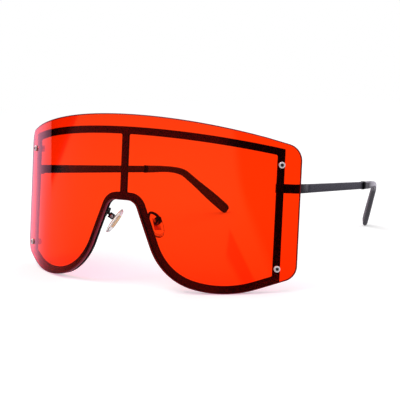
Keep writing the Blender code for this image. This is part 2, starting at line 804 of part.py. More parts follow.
def tip_section(centre, heading, height, thickness):
    """Ring of a rounded rectangle, upright along the route."""
    side = heading.cross(Vector((0, 0, 1))).normalized()
    up = side.cross(heading).normalized()
    corner = min(TIP_EDGE_ROUND, height / 2, thickness / 2)
    ring = []
    for quarter in range(4):
        turn = quarter * pi / 2
        across = (1, -1, -1, 1)[quarter] * (thickness / 2 - corner)
        rise = (1, 1, -1, -1)[quarter] * (height / 2 - corner)
        for step in range(TIP_CORNER_STEPS + 1):
            angle = turn + step / TIP_CORNER_STEPS * pi / 2
            out, lift = across + corner * cos(angle), rise + corner * sin(angle)
            ring.append(centre + side * out + up * lift)
    return ring


def make_temple_tips(pivots):
    """Loft along the route, closed at both ends, with a pocket for the arm's tongue."""
    route = tip_route()
    travelled = [0]
    for start, end in zip(route, route[1:]):
        travelled.append(travelled[-1] + (end - start).length)
    total = travelled[-1]
    shape = bmesh.new()
    rings = []
    for index, centre in enumerate(route):
        heading = (route[min(index + 1, len(route) - 1)] - route[max(index - 1, 0)]).normalized()
        place = travelled[index] / total
        height = TIP_HEIGHT * share_along(TIP_HEIGHT_SHARES, place)
        thickness = TIP_THICKNESS * share_along(TIP_THICKNESS_SHARES, place)
        left = min((total - travelled[index]) / TIP_END_ROUND, 1)
        closing = sqrt(max(1 - (1 - left) ** 2, 0))
        height -= 2 * TIP_END_ROUND * (1 - closing) * TIP_END_SQUARE_SHARE
        thickness *= closing * TIP_END_THIN_SHARE + 1 - TIP_END_THIN_SHARE
        ring = tip_section(centre, heading, height, thickness)
        rings.append([shape.verts.new(point) for point in ring])
    count = len(rings[0])
    for lower, upper in zip(rings, rings[1:]):
        for index in range(count):
            after = (index + 1) % count
            shape.faces.new((lower[index], lower[after], upper[after], upper[index]))
    shape.faces.new(rings[0])
    shape.faces.new(rings[-1])
    bmesh.ops.recalc_face_normals(shape, faces=shape.faces)
    mesh = bpy.data.meshes.new("temple_tip")
    shape.to_mesh(mesh)
    shape.free()
    tip = link("temple_tip", mesh)
    half = Vector((ARM_THICKNESS / 2 + SEAT_GAP, 0, TONGUE_HEIGHT / 2 + SEAT_GAP))
    mouth = Vector((ARM_CENTRE, ARM_LENGTH, 0))
    deep = Vector((ARM_CENTRE, ARM_LENGTH + 2 * SEAT_GAP + TONGUE_LENGTH, 0))
    tip = combine(tip, [block("cut_pocket", mouth - half, deep + half)], "DIFFERENCE")
    settle_pair("temple_tip", tip, "black_plastic", pivots)


# Nose pads, modelled about the pad screw: X along the screw, Y up the pad, Z to the nose

CUP_BACK = LUG_RADIUS + SEAT_GAP + CUP_WALL
INSERT_BACK = CUP_FRONT + ROCK_GAP


def pad_place():
    """Frame of the left pad's screw, set back from the middle of the pad."""
    long_way = Vector((-tan(PAD_SPREAD), tan(PAD_LEAN), 1)).normalized()
    facing = Vector((-cos(PAD_SPLAY), sin(PAD_SPLAY), 0))
    facing = (facing - long_way * facing.dot(long_way)).normalized()
    across = long_way.cross(facing)
    turn = Matrix((across, long_way, facing)).transposed()
    middle = Vector((PAD_SIDE, PAD_BACK, PAD_HEIGHT_SHARE * ARCH_HEIGHT))
    seat = Vector((0, PAD_SEAT_RISE, -(INSERT_BACK + PAD_BACK_BULGE)))
    return Matrix.Translation(middle + turn @ seat) @ turn.to_4x4()


PAD_PLACE = pad_place()


def make_pad_arms(parents):
    """Bent wire from the back of the rim to a cup for the pad's lug."""
    centre_path = offset_path(LOWER_EDGE, RIM_INSET + RIM_WIDTH / 2)
    foot_height = GUARD_FOOT_SHARE * ARCH_HEIGHT
    foot_along = flank_at(centre_path, foot_height)
    foot_frame = sheet_place(foot_along, foot_height, BAR_BACK + SEAT_GAP)
    foot, back = foot_frame.translation, -foot_frame.col[2].to_3d()
    cup_turn = PAD_PLACE.to_3x3()
    end = PAD_PLACE @ Vector((0, 0, -CUP_BACK + CUP_WALL / 2))
    top = (foot + end) / 2 + Vector((-GUARD_SWELL, 0, GUARD_RISE))
    wire = bpy.data.curves.new("pad_arm", "CURVE")
    wire.dimensions = "3D"
    wire.bevel_depth = GUARD_WIRE_RADIUS
    wire.bevel_resolution = 1
    wire.resolution_u = WIRE_STEPS
    wire.use_fill_caps = True
    spline = wire.splines.new("BEZIER")
    spline.bezier_points.add(2)
    over = (end - foot).normalized() * GUARD_EASE
    handles = (back * GUARD_LEAD, over, cup_turn.col[2] * GUARD_EASE)
    for point, place, handle in zip(spline.bezier_points, (foot, top, end), handles):
        point.co = place
        point.handle_left_type = point.handle_right_type = "FREE"
        point.handle_left = place - handle
        point.handle_right = place + handle
    arm = bake(link("pad_arm", wire))
    half = Vector((CUP_WIDTH / 2, CUP_LENGTH / 2, 0))
    cup = block("cup", Vector((0, 0, -CUP_BACK)) - half, Vector((0, 0, CUP_FRONT)) + half)
    slot_half = Vector((LUG_THICKNESS / 2 + RUNNING_FIT, CUP_LENGTH / 2 + OVERRUN, 0))
    slot_low = Vector((0, 0, -CUP_BACK + CUP_WALL))
    slot = block("cut_slot", slot_low - slot_half, Vector((0, 0, CUP_FRONT + OVERRUN)) + slot_half)
    cup = combine(cup, [slot, pad_bore_cutter()], "DIFFERENCE")
    cup.matrix_world = PAD_PLACE
    arm = combine(arm, [cup], "UNION")
    settle_pair("pad_arm", arm, "black_metal", parents)


def pad_bore_cutter():
    reach = Vector((CUP_WIDTH, 0, 0))
    return rod("cut_pad_bore", PAD_SCREW_RADIUS + RUNNING_FIT, -reach, reach)


def make_pad_screws(parents):
    """Small screw across the cup, its head on the front."""
    seat = CUP_WIDTH / 2 + RUNNING_FIT
    top = seat + PAD_SCREW_HEAD_HEIGHT
    chamfer = PAD_SCREW_HEAD_HEIGHT * HEAD_CHAMFER_SHARE
    profile = [(0, top), (PAD_SCREW_HEAD_RADIUS - chamfer, top), (PAD_SCREW_HEAD_RADIUS, top - chamfer),
               (PAD_SCREW_HEAD_RADIUS, seat), (PAD_SCREW_RADIUS, seat), (PAD_SCREW_RADIUS, -seat),
               (0, -seat)]
    screw = turned("pad_screw", profile)
    reshape(screw.data, lambda point: Vector((point.z, point.y, -point.x)))
    settle_pair("pad_screw", screw, "steel", parents, PAD_PLACE)


def make_pad_inserts(pivots):
    """Gold plate in the back of the pad, with a round lug for the screw."""
    middle = Vector((0, -PAD_SEAT_RISE, INSERT_BACK + INSERT_THICKNESS / 2))
    half = Vector((INSERT_WIDTH, INSERT_LENGTH, INSERT_THICKNESS)) / 2
    plate = block("pad_insert", middle - half, middle + half)
    lug_half = Vector((LUG_THICKNESS / 2, 0, 0))
    eye = rod("lug_eye", LUG_RADIUS, -lug_half, lug_half)
    stem_low = Vector((-LUG_THICKNESS / 2, -LUG_RADIUS, 0))
    stem_high = Vector((LUG_THICKNESS / 2, LUG_RADIUS, INSERT_BACK + INSERT_THICKNESS / 2))
    plate = combine(plate, [eye, block("lug_stem", stem_low, stem_high)], "UNION")
    plate = combine(plate, [pad_bore_cutter()], "DIFFERENCE")
    settle_pair("pad_insert", plate, "gold", pivots)


def pad_surface(point):
    """Place on the pad of a place on a unit sphere: squarish oval, domed on the skin side."""
    turn = atan2(point.y, point.x)
    power = 2 * PAD_SQUARENESS
    oval = (abs(cos(turn)) ** power + abs(sin(turn)) ** power) ** (-1 / power)
    spread = oval * hypot(point.x, point.y) ** PAD_EDGE_FULLNESS
    bulge = PAD_SKIN_BULGE if point.z > 0 else PAD_BACK_BULGE
    middle = INSERT_BACK + PAD_BACK_BULGE
    return Vector((spread * cos(turn) * PAD_WIDTH / 2, spread * sin(turn) * PAD_LENGTH / 2 - PAD_SEAT_RISE,
                   middle + point.z * bulge))


def make_nose_pads(pivots):
    """Clear pad with a pocket for the insert."""
    mesh = bpy.data.meshes.new("nose_pad")
    shape = bmesh.new()
    bmesh.ops.create_uvsphere(shape, u_segments=ROUND_SIDES, v_segments=ROUND_SIDES // 2, radius=1)
    shape.to_mesh(mesh)
    shape.free()
    reshape(mesh, pad_surface)
    pad = link("nose_pad", mesh)
    half = Vector((INSERT_WIDTH / 2 + SEAT_GAP, INSERT_LENGTH / 2 + SEAT_GAP, 0))
    low = Vector((0, -PAD_SEAT_RISE, INSERT_BACK - OVERRUN)) - half
    high = Vector((0, -PAD_SEAT_RISE, INSERT_BACK + INSERT_THICKNESS + SEAT_GAP)) + half
    pad = combine(pad, [block("cut_insert", low, high)], "DIFFERENCE")
    settle_pair("nose_pad", pad, "clear_silicone", pivots)


# Standing the glasses on their lobes and temple ends


def lowest(objects, turn):
    """Lowest point of some objects in the wearer's frame after a turn."""
    points = [turn @ made.matrix_world @ vertex.co for made in objects for vertex in made.data.vertices]
    return min(points, key=lambda point: point.z)


def stand_up(frame):
    """Lean the wearer's frame back until front and tips are level, then centre it on the origin."""
    bpy.context.view_layer.update()
    front = [made for made in PARTS.objects if made.name in ("lens", "lower_rim")]
    tips = [made for made in PARTS.objects if made.name.startswith("temple_tip")]
    lean = 0
    for _ in range(SETTLING_STEPS):
        turn = Matrix.Rotation(-lean, 4, "X")
        near, far = lowest(front, turn), lowest(tips, turn)
        lean += atan2(far.z - near.z, far.y - near.y)
    turn = Matrix.Rotation(-lean, 4, "X")
    solids = [made for made in PARTS.objects if made.type == "MESH"]
    points = [turn @ made.matrix_world @ vertex.co for made in solids for vertex in made.data.vertices]
    low = Vector([min(point[axis] for point in points) for axis in range(3)])
    high = Vector([max(point[axis] for point in points) for axis in range(3)])
    middle = (low + high) / 2
    frame.rotation_euler = (-lean, 0, 0)
    frame.location = (-middle.x, -middle.y, -low.z)


def main():
    frame = link("wearer_frame", None)
    frame.empty_display_size = LENS_HEIGHT
    both = (frame, frame)
    make_lens(frame)
    make_top_bar(frame)
    make_uprights(frame, both)
    make_lower_rim(frame)
    make_fasteners(both)
    make_end_pieces(both)
    make_hinge_screws(both)
    temple_pivots = pivot_pair("temple_pivot", HINGE_PLACE, frame)
    make_temple_arms(temple_pivots)
    make_temple_tips(temple_pivots)
    make_pad_arms(both)
    make_pad_screws(both)
    pad_pivots = pivot_pair("pad_pivot", PAD_PLACE, frame)
    make_pad_inserts(pad_pivots)
    make_nose_pads(pad_pivots)
    stand_up(frame)


main()
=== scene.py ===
"""Looks for a pair of shield sunglasses: fine meshes, materials, floor, light and camera.

Metres. Sheet places are (along the bend, height, depth behind the outer face of the lens)
in the wearer's frame, which leans back on the floor by LEAN.
"""

from math import atan2, ceil, cos, hypot, pi, radians, sin, sqrt, tan

import bmesh
import bpy
from mathutils import Matrix, Vector


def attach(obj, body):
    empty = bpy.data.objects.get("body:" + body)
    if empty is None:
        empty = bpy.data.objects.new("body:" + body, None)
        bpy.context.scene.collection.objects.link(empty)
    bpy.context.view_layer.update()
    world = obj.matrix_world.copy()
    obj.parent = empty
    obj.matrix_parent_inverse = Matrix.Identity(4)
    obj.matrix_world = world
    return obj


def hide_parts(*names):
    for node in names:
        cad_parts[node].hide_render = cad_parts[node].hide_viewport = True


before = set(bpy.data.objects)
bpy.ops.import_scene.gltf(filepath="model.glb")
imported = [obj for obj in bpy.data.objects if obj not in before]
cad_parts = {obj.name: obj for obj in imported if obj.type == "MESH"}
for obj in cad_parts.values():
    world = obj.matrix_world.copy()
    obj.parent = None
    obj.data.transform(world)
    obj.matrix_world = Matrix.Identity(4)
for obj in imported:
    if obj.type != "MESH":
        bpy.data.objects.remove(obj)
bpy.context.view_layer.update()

MM = 0.001
SIDES = ("left", "right")

# Bodies of a left and a right piece
ON_FRONT = ("front", "front")
ON_TEMPLES = ("temple_left", "temple_right")
ON_PADS = ("pad_left", "pad_right")

# Placement of the wearer's frame on the floor
LEAN = radians(8.4668)
WEARER = Matrix.Translation((0, -83.03 * MM, 1.752 * MM)) @ Matrix.Rotation(-LEAN, 4, "X")

# Lens
SHEET_RADIUS = 106.0 * MM
LENS_THICKNESS = 1.6 * MM
LENS_HALF_WIDTH = 80.0 * MM
LENS_HEIGHT = 74.6 * MM
LENS_CROWN_RADIUS = 290.0 * MM
LENS_TOP_CORNER = 7.5 * MM
LENS_LOW_CORNER = 6.6 * MM
LENS_EDGE_ROUND = 0.4 * MM
ARCH_HEIGHT = 37.2 * MM
ARCH_CORNER = 5.1 * MM
LOBE_INNER_ROUND = 28.5 * MM
LOBE_OUTER_ROUND = 57.0 * MM
ARCH_SHOULDER_SHARES = (0.084, 1.0)
LOBE_INNER_SHARES = (0.263, 0.118)
LOBE_OUTER_SHARES = (0.614, -0.05)
LOW_CORNER_SHARES = (1.0, 0.228)

# Metal front
BAR_WIDTH = 3.2 * MM
BAR_THICKNESS = 1.2 * MM
BAR_EDGE_ROUND = 0.12 * MM
LENS_TO_BAR_GAP = 0.3 * MM
TOP_BAR_DROP = 7.1 * MM
TOP_BAR_CROWN_RADIUS = 418.0 * MM
SIDE_BAR_INSET = 8.8 * MM
RIM_WIDTH = 3.1 * MM
RIM_INSET = 0.2 * MM
BRAZE_FILLET = 0.7 * MM
OUTER_CORNER = 0.35 * MM
BAR_FRONT = LENS_THICKNESS + LENS_TO_BAR_GAP
BAR_BACK = BAR_FRONT + BAR_THICKNESS
SIDE_BAR_CENTRE = LENS_HALF_WIDTH - SIDE_BAR_INSET
FRAME_HALF_WIDTH = SIDE_BAR_CENTRE + BAR_WIDTH / 2

# Fasteners
UPPER_SCREW_DROP = 3.8 * MM
LOWER_SCREW_RISE = 2.9 * MM
SCREW_RADIUS = 0.7 * MM
SCREW_HEAD_RADIUS = 1.4 * MM
SCREW_HEAD_HEIGHT = 0.75 * MM
SCREW_HEAD_EASE = 0.05 * MM
SCREW_BRIM_SHARE = 0.33
SOCKET_RADIUS = 0.68 * MM
SOCKET_DEPTH = 0.42 * MM
SOCKET_POINT = 0.12 * MM
SOCKET_FLOOR_SHARE = 0.85
SOCKET_MOUTH_SHARE = 1.06
SEAT_GAP = 0.1 * MM
RUNNING_FIT = 0.06 * MM
BUSHING_WALL = 0.3 * MM
BUSHING_EASE = 0.04 * MM
HOLE_CUT_HALF = 4.0 * MM
NUT_HEIGHT = 1.3 * MM
NUT_EDGE_ROUND = 0.1 * MM
THREAD_END = 0.3 * MM
THREAD_PITCH = 0.3 * MM
THREAD_DEPTH = 0.06 * MM

# Temples, in the frame of the left hinge: X outward, Y back along the arm, Z up
ARM_THICKNESS = 1.2 * MM
ARM_HINGE_HEIGHT = 3.85 * MM
ARM_END_HEIGHT = 3.4 * MM
ARM_LENGTH = 67.4 * MM
ARM_EDGE_ROUND = 0.3 * MM
ARM_INTO_TIP = 0.02 * MM
KNUCKLE_RADIUS = 1.3 * MM
KNUCKLE_GAP = 0.1 * MM
KNUCKLE_ROUND = 0.1 * MM
KNUCKLE_ROUND_MIDDLE = 0.03 * MM
MIDDLE_KNUCKLE_HALF = 0.468 * MM
HINGE_PIN_RADIUS = 0.55 * MM
LEAF_LENGTH = 5.0 * MM
LEAF_THICKNESS = 0.8 * MM
LEAF_INTO_ARM = 0.1 * MM
LEAF_EDGE_ROUND = 0.12 * MM
STOP_GAP = 0.15 * MM
ARM_INNER = KNUCKLE_RADIUS + KNUCKLE_GAP
ARM_CENTRE = ARM_INNER + ARM_THICKNESS / 2
HINGE_AXES = ((0.99639, 0.08397, -0.0125), (-0.084891, 0.984045, -0.156364), (-0.00083, 0.156861, 0.98762))
HINGE_POINT = (66.554 * MM, -34.897 * MM, 40.935 * MM)

# Temple tips
TIP_THICKNESS = 2.6 * MM
TIP_HEIGHT = 5.2 * MM
TIP_STRAIGHT = 5.7 * MM
TIP_BEND_IN = 5.0 * MM
TIP_BEND_BACK = 24.2 * MM
TIP_BEND_FALL = 2.7 * MM
TIP_BEND_EASE = 6.1 * MM
TIP_LEG = 31.8 * MM
TIP_LEG_IN = radians(28.1)
TIP_LEG_FALL = radians(36.3)
TIP_END_ROUND = 2.4 * MM
TIP_END_SQUARE_SHARE = 0.55
TIP_END_THIN_SHARE = 0.6
TIP_EDGE_ROUND = 1.1 * MM
TIP_MOUTH_ROUND = 0.35 * MM
TIP_RING_LENGTH = 2.1 * MM
TIP_HEIGHT_SHARES = ((0.0, 0.76), (0.09, 0.71), (0.3, 0.62), (0.55, 0.74), (0.85, 1.0), (1.0, 0.97))
TIP_THICKNESS_SHARES = ((0.0, 1.0), (0.09, 0.98), (0.5, 0.95), (1.0, 0.95))

# Nose pads, in the frame of the left pad screw: X along the screw, Y up the pad, Z to the nose
PAD_LENGTH = 12.4 * MM
PAD_WIDTH = 7.2 * MM
PAD_SKIN_BULGE = 1.5 * MM
PAD_BACK_BULGE = 0.9 * MM
PAD_SEAT_RISE = 1.0 * MM
PAD_SQUARENESS = 1.25
PAD_EDGE_FULLNESS = 0.55
INSERT_BACK = 1.2 * MM
INSERT_EDGE_ROUND = 0.08 * MM
PAD_AXES = ((-0.458548, -0.875632, 0.151666), (-0.472071, 0.384607, 0.793238),
            (-0.752916, 0.29214, -0.589721))
PAD_POINT = (12.359 * MM, -67.605 * MM, 28.458 * MM)

# Mesh fineness
ARC_STEP = radians(4.0)
EDGE_STEP = 1.6 * MM
COLUMN_STEP = 1.5 * MM
SMOOTH_ANGLE = radians(40)
SHARP_ANGLE = radians(30)
ROUND_SIDES = 48
DOME_STEPS = 8
ARM_STEPS = 24
TIP_SLEEVE_STEPS = 10
TIP_BEND_STEPS = 40
TIP_LEG_STEPS = 40
TIP_END_STEPS = 12
TIP_CORNER_STEPS = 6
WELD = 0.001 * MM

# A point this near is on a face of the sheet; a plate's normals have more Z than the first where it
# is flat, and less than the second on the walls of its edges
ON_FACE = 0.008 * MM
FLAT_NORMAL = 0.999
WALL_NORMAL = 0.05


def from_axes(axes, point):
    turn = Matrix(axes).transposed()
    return Matrix.Translation(point) @ turn.to_4x4()


HINGE = from_axes(HINGE_AXES, HINGE_POINT)
PAD = from_axes(PAD_AXES, PAD_POINT)


# Node materials

# How much rougher the lens is in its wipe marks
WIPE_ROUGHNESS = 0.035


def new_material(name):
    """A material with a Principled shader, and its node tree."""
    made = bpy.data.materials.new(name)
    made.use_nodes = True
    return made, made.node_tree, made.node_tree.nodes["Principled BSDF"]


def feed(tree, node, inputs):
    """Set a node's inputs, by name or number, to values or to the outputs of other nodes."""
    for key, value in inputs.items():
        if isinstance(value, bpy.types.NodeSocket):
            tree.links.new(value, node.inputs[key])
        else:
            node.inputs[key].default_value = value


def new_node(tree, kind, inputs=None, **settings):
    """A node with its settings made and its inputs fed."""
    node = tree.nodes.new(kind)
    for key, value in settings.items():
        setattr(node, key, value)
    feed(tree, node, inputs or {})
    return node


def object_space(tree, scale=(1, 1, 1), turn=(0, 0, 0)):
    """Object coordinates, scaled and turned."""
    place = new_node(tree, "ShaderNodeTexCoord").outputs["Object"]
    inputs = {"Vector": place, "Scale": scale, "Rotation": turn}
    return new_node(tree, "ShaderNodeMapping", inputs).outputs["Vector"]


def noise(tree, vector, scale, detail=3.0, roughness=0.5):
    inputs = {"Vector": vector, "Scale": scale, "Detail": detail, "Roughness": roughness}
    return new_node(tree, "ShaderNodeTexNoise", inputs).outputs["Fac"]


def remap(tree, value, low, high, to_low, to_high):
    """A smooth step between two levels as a value goes from low to high."""
    inputs = {"Value": value, "From Min": low, "From Max": high, "To Min": to_low, "To Max": to_high}
    return new_node(tree, "ShaderNodeMapRange", inputs, interpolation_type="SMOOTHSTEP").outputs["Result"]


def tint(tree, value, stops):
    """Colour ramp over a value; stops are (place, colour)."""
    ramp = new_node(tree, "ShaderNodeValToRGB", {"Fac": value})
    elements = ramp.color_ramp.elements
    while len(elements) < len(stops):
        elements.new(0.5)
    for element, (place, colour) in zip(elements, stops):
        element.position = place
        element.color = (*colour, 1)
    return ramp.outputs["Color"]


def shaded(tree, value, shades):
    """A colour that drifts between two shades over a value."""
    return tint(tree, value, ((0.3, shades[0]), (0.7, shades[1])))


def maths(tree, operation, first, second):
    return new_node(tree, "ShaderNodeMath", {0: first, 1: second}, operation=operation).outputs["Value"]


def times(tree, first, second):
    return maths(tree, "MULTIPLY", first, second)


def relief(tree, height, strength, distance):
    """A normal bent by a height."""
    inputs = {"Height": height, "Strength": strength, "Distance": distance}
    return new_node(tree, "ShaderNodeBump", inputs).outputs["Normal"]


def mixed(tree, share, first, second):
    """One shader's output turning into another's with a share."""
    return new_node(tree, "ShaderNodeMixShader", {"Fac": share, 1: first, 2: second}).outputs["Shader"]


def let_light_through(made, colour):
    """Send shadow rays through a clear shader in a colour, so clear pieces cast tinted light."""
    tree = made.node_tree
    shadow_ray = new_node(tree, "ShaderNodeLightPath").outputs["Is Shadow Ray"]
    clear = new_node(tree, "ShaderNodeBsdfTransparent", {"Color": (*colour, 1)}).outputs["BSDF"]
    surface = mixed(tree, shadow_ray, tree.nodes["Principled BSDF"].outputs["BSDF"], clear)
    feed(tree, tree.nodes["Material Output"], {"Surface": surface})


def lens_material(name, shades, base_roughness, shadow, transmission=1.0):
    """Tinted clear plastic: colour drifts a little over the sheet, with faint wipe marks."""
    made, tree, shader = new_material(name)
    drift = noise(tree, object_space(tree, scale=(1, 1, 0.6)), 14.0, detail=2.0)
    wipes = noise(tree, object_space(tree, (1, 1, 5), (0, radians(20), 0)), 60.0, detail=5.0, roughness=0.6)
    fine = noise(tree, object_space(tree), 900.0, detail=2.0)
    feed(tree, shader, {
        "Transmission Weight": transmission, "IOR": 1.3, "Base Color": shaded(tree, drift, shades),
        "Roughness": remap(tree, wipes, 0.55, 0.8, base_roughness, base_roughness + WIPE_ROUGHNESS),
        "Normal": relief(tree, fine, 0.02, 0.02 * MM)})
    let_light_through(made, shadow)
    return made


def metal_material(name, shades, metallic, roughness, grain=(1, 1, 1), gleam=0.5):
    """Coated metal: mottled tone, brushed grain in roughness and bump."""
    made, tree, shader = new_material(name)
    mottle = noise(tree, object_space(tree), 160.0, detail=4.0)
    brushed = noise(tree, object_space(tree, grain), 900.0, detail=4.0, roughness=0.6)
    feed(tree, shader, {
        "Metallic": metallic, "Specular IOR Level": gleam, "Base Color": shaded(tree, mottle, shades),
        "Roughness": remap(tree, brushed, 0.3, 0.75, *roughness),
        "Normal": relief(tree, brushed, 0.12, 0.03 * MM)})
    return made


def plastic_material(name, shades, roughness, coat, gleam):
    """Moulded gloss plastic: slight orange peel, soft handling marks."""
    made, tree, shader = new_material(name)
    tone = noise(tree, object_space(tree), 120.0)
    marks = noise(tree, object_space(tree, scale=(1, 0.3, 1)), 420.0, detail=5.0, roughness=0.65)
    peel = noise(tree, object_space(tree), 1100.0, detail=1.0)
    feed(tree, shader, {
        "Specular IOR Level": gleam, "Coat Weight": coat, "Coat Roughness": 0.08,
        "Base Color": shaded(tree, tone, shades), "Roughness": remap(tree, marks, 0.35, 0.75, *roughness),
        "Normal": relief(tree, peel, 0.08, 0.04 * MM)})
    return made


def clear_material(name, shades, roughness, ior, transmission, shadow):
    """Clear soft plastic: slight haze, faint skin marks."""
    made, tree, shader = new_material(name)
    haze = noise(tree, object_space(tree), 260.0)
    skin = noise(tree, object_space(tree), 1400.0, detail=2.0)
    feed(tree, shader, {
        "Transmission Weight": transmission, "IOR": ior, "Base Color": shaded(tree, haze, shades),
        "Roughness": remap(tree, haze, 0.35, 0.7, *roughness), "Normal": relief(tree, skin, 0.05, 0.03 * MM)})
    let_light_through(made, shadow)
    return made


LENS = lens_material("tinted_lens", ((1.0, 0.0425, 0.0032), (1.0, 0.046, 0.0038)), 0.0, (0.97, 0.53, 0.82))
LENS_EDGE = lens_material("satin_lens_edge", ((0.4, 0.012, 0.05), (0.48, 0.016, 0.062)), 0.4,
                          (0.95, 0.5, 0.78), 0.4)
LENS_BEVEL = lens_material("frosted_lens_bevel", ((0.16, 0.008, 0.018), (0.2, 0.01, 0.024)), 0.45,
                           (0.9, 0.45, 0.7), 0.15)
FRONT_METAL = metal_material("black_front_metal", ((0.05, 0.047, 0.052), (0.06, 0.057, 0.062)), 0.9,
                             (0.12, 0.22))
BLACK_METAL = metal_material("black_coated_metal", ((0.008, 0.007, 0.011), (0.012, 0.011, 0.016)), 0.0,
                             (0.22, 0.34), gleam=0.05)
BLACK_EDGE = metal_material("black_coated_metal_edge", ((0.006, 0.005, 0.008), (0.011, 0.01, 0.014)), 0.0,
                            (0.3, 0.44), gleam=0.1)
GUNMETAL = metal_material("gunmetal", ((0.055, 0.056, 0.07), (0.07, 0.071, 0.086)), 1.0,
                          (0.26, 0.38), grain=(6, 0.25, 6))
GUNMETAL_EDGE = metal_material("gunmetal_edge", ((0.038, 0.04, 0.052), (0.052, 0.054, 0.068)), 1.0,
                               (0.2, 0.32), grain=(6, 0.25, 6))
SCREW_STEEL = metal_material("satin_steel", ((0.9, 0.88, 0.88), (0.97, 0.95, 0.95)), 0.3, (0.18, 0.3))
# Dark steel of the hinge pins, and painted shade inside the lens screws' sockets
DARK_STEEL_AND_SOCKET_SHADE = metal_material("dark_steel_and_painted_socket_shade", ((0.03, 0.03, 0.032), (0.05, 0.05, 0.054)), 0.5, (0.3, 0.44))
STEEL = metal_material("bright_steel", ((0.8, 0.8, 0.81), (0.88, 0.88, 0.89)), 0.6, (0.12, 0.24))
STEEL_EDGE = metal_material("bright_steel_edge", ((0.84, 0.84, 0.85), (0.92, 0.92, 0.92)), 0.7, (0.1, 0.18))
GOLD = metal_material("gold_plate", ((0.78, 0.5, 0.2), (0.88, 0.6, 0.27)), 1.0, (0.22, 0.36), grain=(1, 4, 1))
TIP = plastic_material("black_gloss_plastic", ((0.026, 0.026, 0.028), (0.034, 0.034, 0.037)), (0.2, 0.32),
                       0.2, 0.4)
TIP_RING = plastic_material("black_rubber", ((0.003, 0.003, 0.005), (0.006, 0.006, 0.008)), (0.45, 0.6),
                            0.0, 0.1)
SILICONE = clear_material("clear_silicone", ((0.93, 0.92, 0.93), (0.98, 0.97, 0.98)), (0.04, 0.12), 1.38, 1.0,
                          (0.95, 0.94, 0.95))
NYLON = clear_material("milky_nylon", ((0.86, 0.85, 0.84), (0.94, 0.93, 0.92)), (0.2, 0.34), 1.5, 0.75,
                       (0.85, 0.85, 0.85))


# Mesh helpers


def new_object(name, data):
    made = bpy.data.objects.new(name, data)
    bpy.context.scene.collection.objects.link(made)
    return made


def mesh_from(name, shape):
    """A mesh from a finished bmesh."""
    mesh = bpy.data.meshes.new(name)
    shape.to_mesh(mesh)
    shape.free()
    return mesh


def piece_from(name, shape, materials, body, nodes, smooth_angle=SMOOTH_ANGLE):
    """Turn a finished bmesh, in the row frame, into a piece that stands for CAD nodes."""
    mesh = mesh_from(name, shape)
    made = new_object(name, mesh)
    for surface in materials:
        mesh.materials.append(surface)
    mesh.shade_smooth()
    if smooth_angle:
        mesh.set_sharp_from_angle(angle=smooth_angle)
    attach(made, body)
    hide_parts(*nodes)
    return made


def mirrored(shape):
    """A copy of a bmesh for the other side of the face."""
    other = shape.copy()
    for vertex in other.verts:
        vertex.co.x = -vertex.co.x
    bmesh.ops.reverse_faces(other, faces=other.faces)
    return other


def pair_from(name, shape, materials, bodies, node, smooth_angle=SMOOTH_ANGLE):
    """The left piece and its mirror image, each for its own CAD node."""
    for side, body, half in zip(SIDES, bodies, (shape, mirrored(shape))):
        piece_from(f"{name}_{side}", half, materials, body, [f"{node}_{side}"], smooth_angle)


def moved(shape, matrix):
    for vertex in shape.verts:
        vertex.co = matrix @ vertex.co
    return shape


def merged(shapes):
    """One bmesh from several."""
    whole = bmesh.new()
    for shape in shapes:
        mesh = mesh_from("part", shape)
        whole.from_mesh(mesh)
        bpy.data.meshes.remove(mesh)
    return whole


def soften(shape, width, segments=3):
    """Round the sharp edges; the rounds take the second material."""
    shape.normal_update()
    sharp = [edge for edge in shape.edges
             if len(edge.link_faces) == 2 and edge.calc_face_angle(0) > SHARP_ANGLE]
    bmesh.ops.bevel(shape, geom=sharp, offset=width, offset_type="OFFSET", segments=segments, profile=0.5,
                    affect="EDGES", clamp_overlap=True, material=1)
    return shape


def box_shape(low, high):
    shape = bmesh.new()
    low, high = Vector(low), Vector(high)
    place = Matrix.Translation((low + high) / 2) @ Matrix.Diagonal((*(high - low), 1))
    bmesh.ops.create_cube(shape, size=1.0, matrix=place)
    return shape


def lathe(profile, closed=False):
    """Turn a profile of (radius, height) about Z; a third value 6 makes that ring a hexagon."""
    shape = bmesh.new()
    rings = []
    for radius, height, *ring_corners in profile:
        if radius == 0:
            rings.append([shape.verts.new((0, 0, height))])
            continue
        ring = []
        for index in range(ROUND_SIDES):
            angle = 2 * pi * index / ROUND_SIDES
            reach = radius
            if ring_corners:
                sector = 2 * pi / ring_corners[0]
                reach = radius * cos(sector / 2) / cos(angle % sector - sector / 2)
            ring.append(shape.verts.new((reach * cos(angle), reach * sin(angle), height)))
        rings.append(ring)
    steps = list(zip(rings, rings[1:]))
    if closed:
        steps.append((rings[-1], rings[0]))
    for upper, lower in steps:
        for index in range(ROUND_SIDES):
            after = (index + 1) % ROUND_SIDES
            corners = [upper[index % len(upper)], lower[index % len(lower)],
                       lower[after % len(lower)], upper[after % len(upper)]]
            unique = list(dict.fromkeys(corners))
            if len(unique) > 2:
                shape.faces.new(unique)
    bmesh.ops.recalc_face_normals(shape, faces=shape.faces)
    return shape


def lofted(shape, rings, second_bands=0):
    """Join rings of points into a closed skin; its first bands can take the second material."""
    count = len(rings[0])
    for band, (before, after) in enumerate(zip(rings, rings[1:])):
        for index in range(count):
            following = (index + 1) % count
            face = shape.faces.new((before[index], before[following], after[following], after[index]))
            face.material_index = int(band < second_bands)
    shape.faces.new(rings[0]).material_index = min(second_bands, 1)
    shape.faces.new(rings[-1])
    bmesh.ops.remove_doubles(shape, verts=shape.verts, dist=WELD)
    bmesh.ops.recalc_face_normals(shape, faces=shape.faces)
    return shape


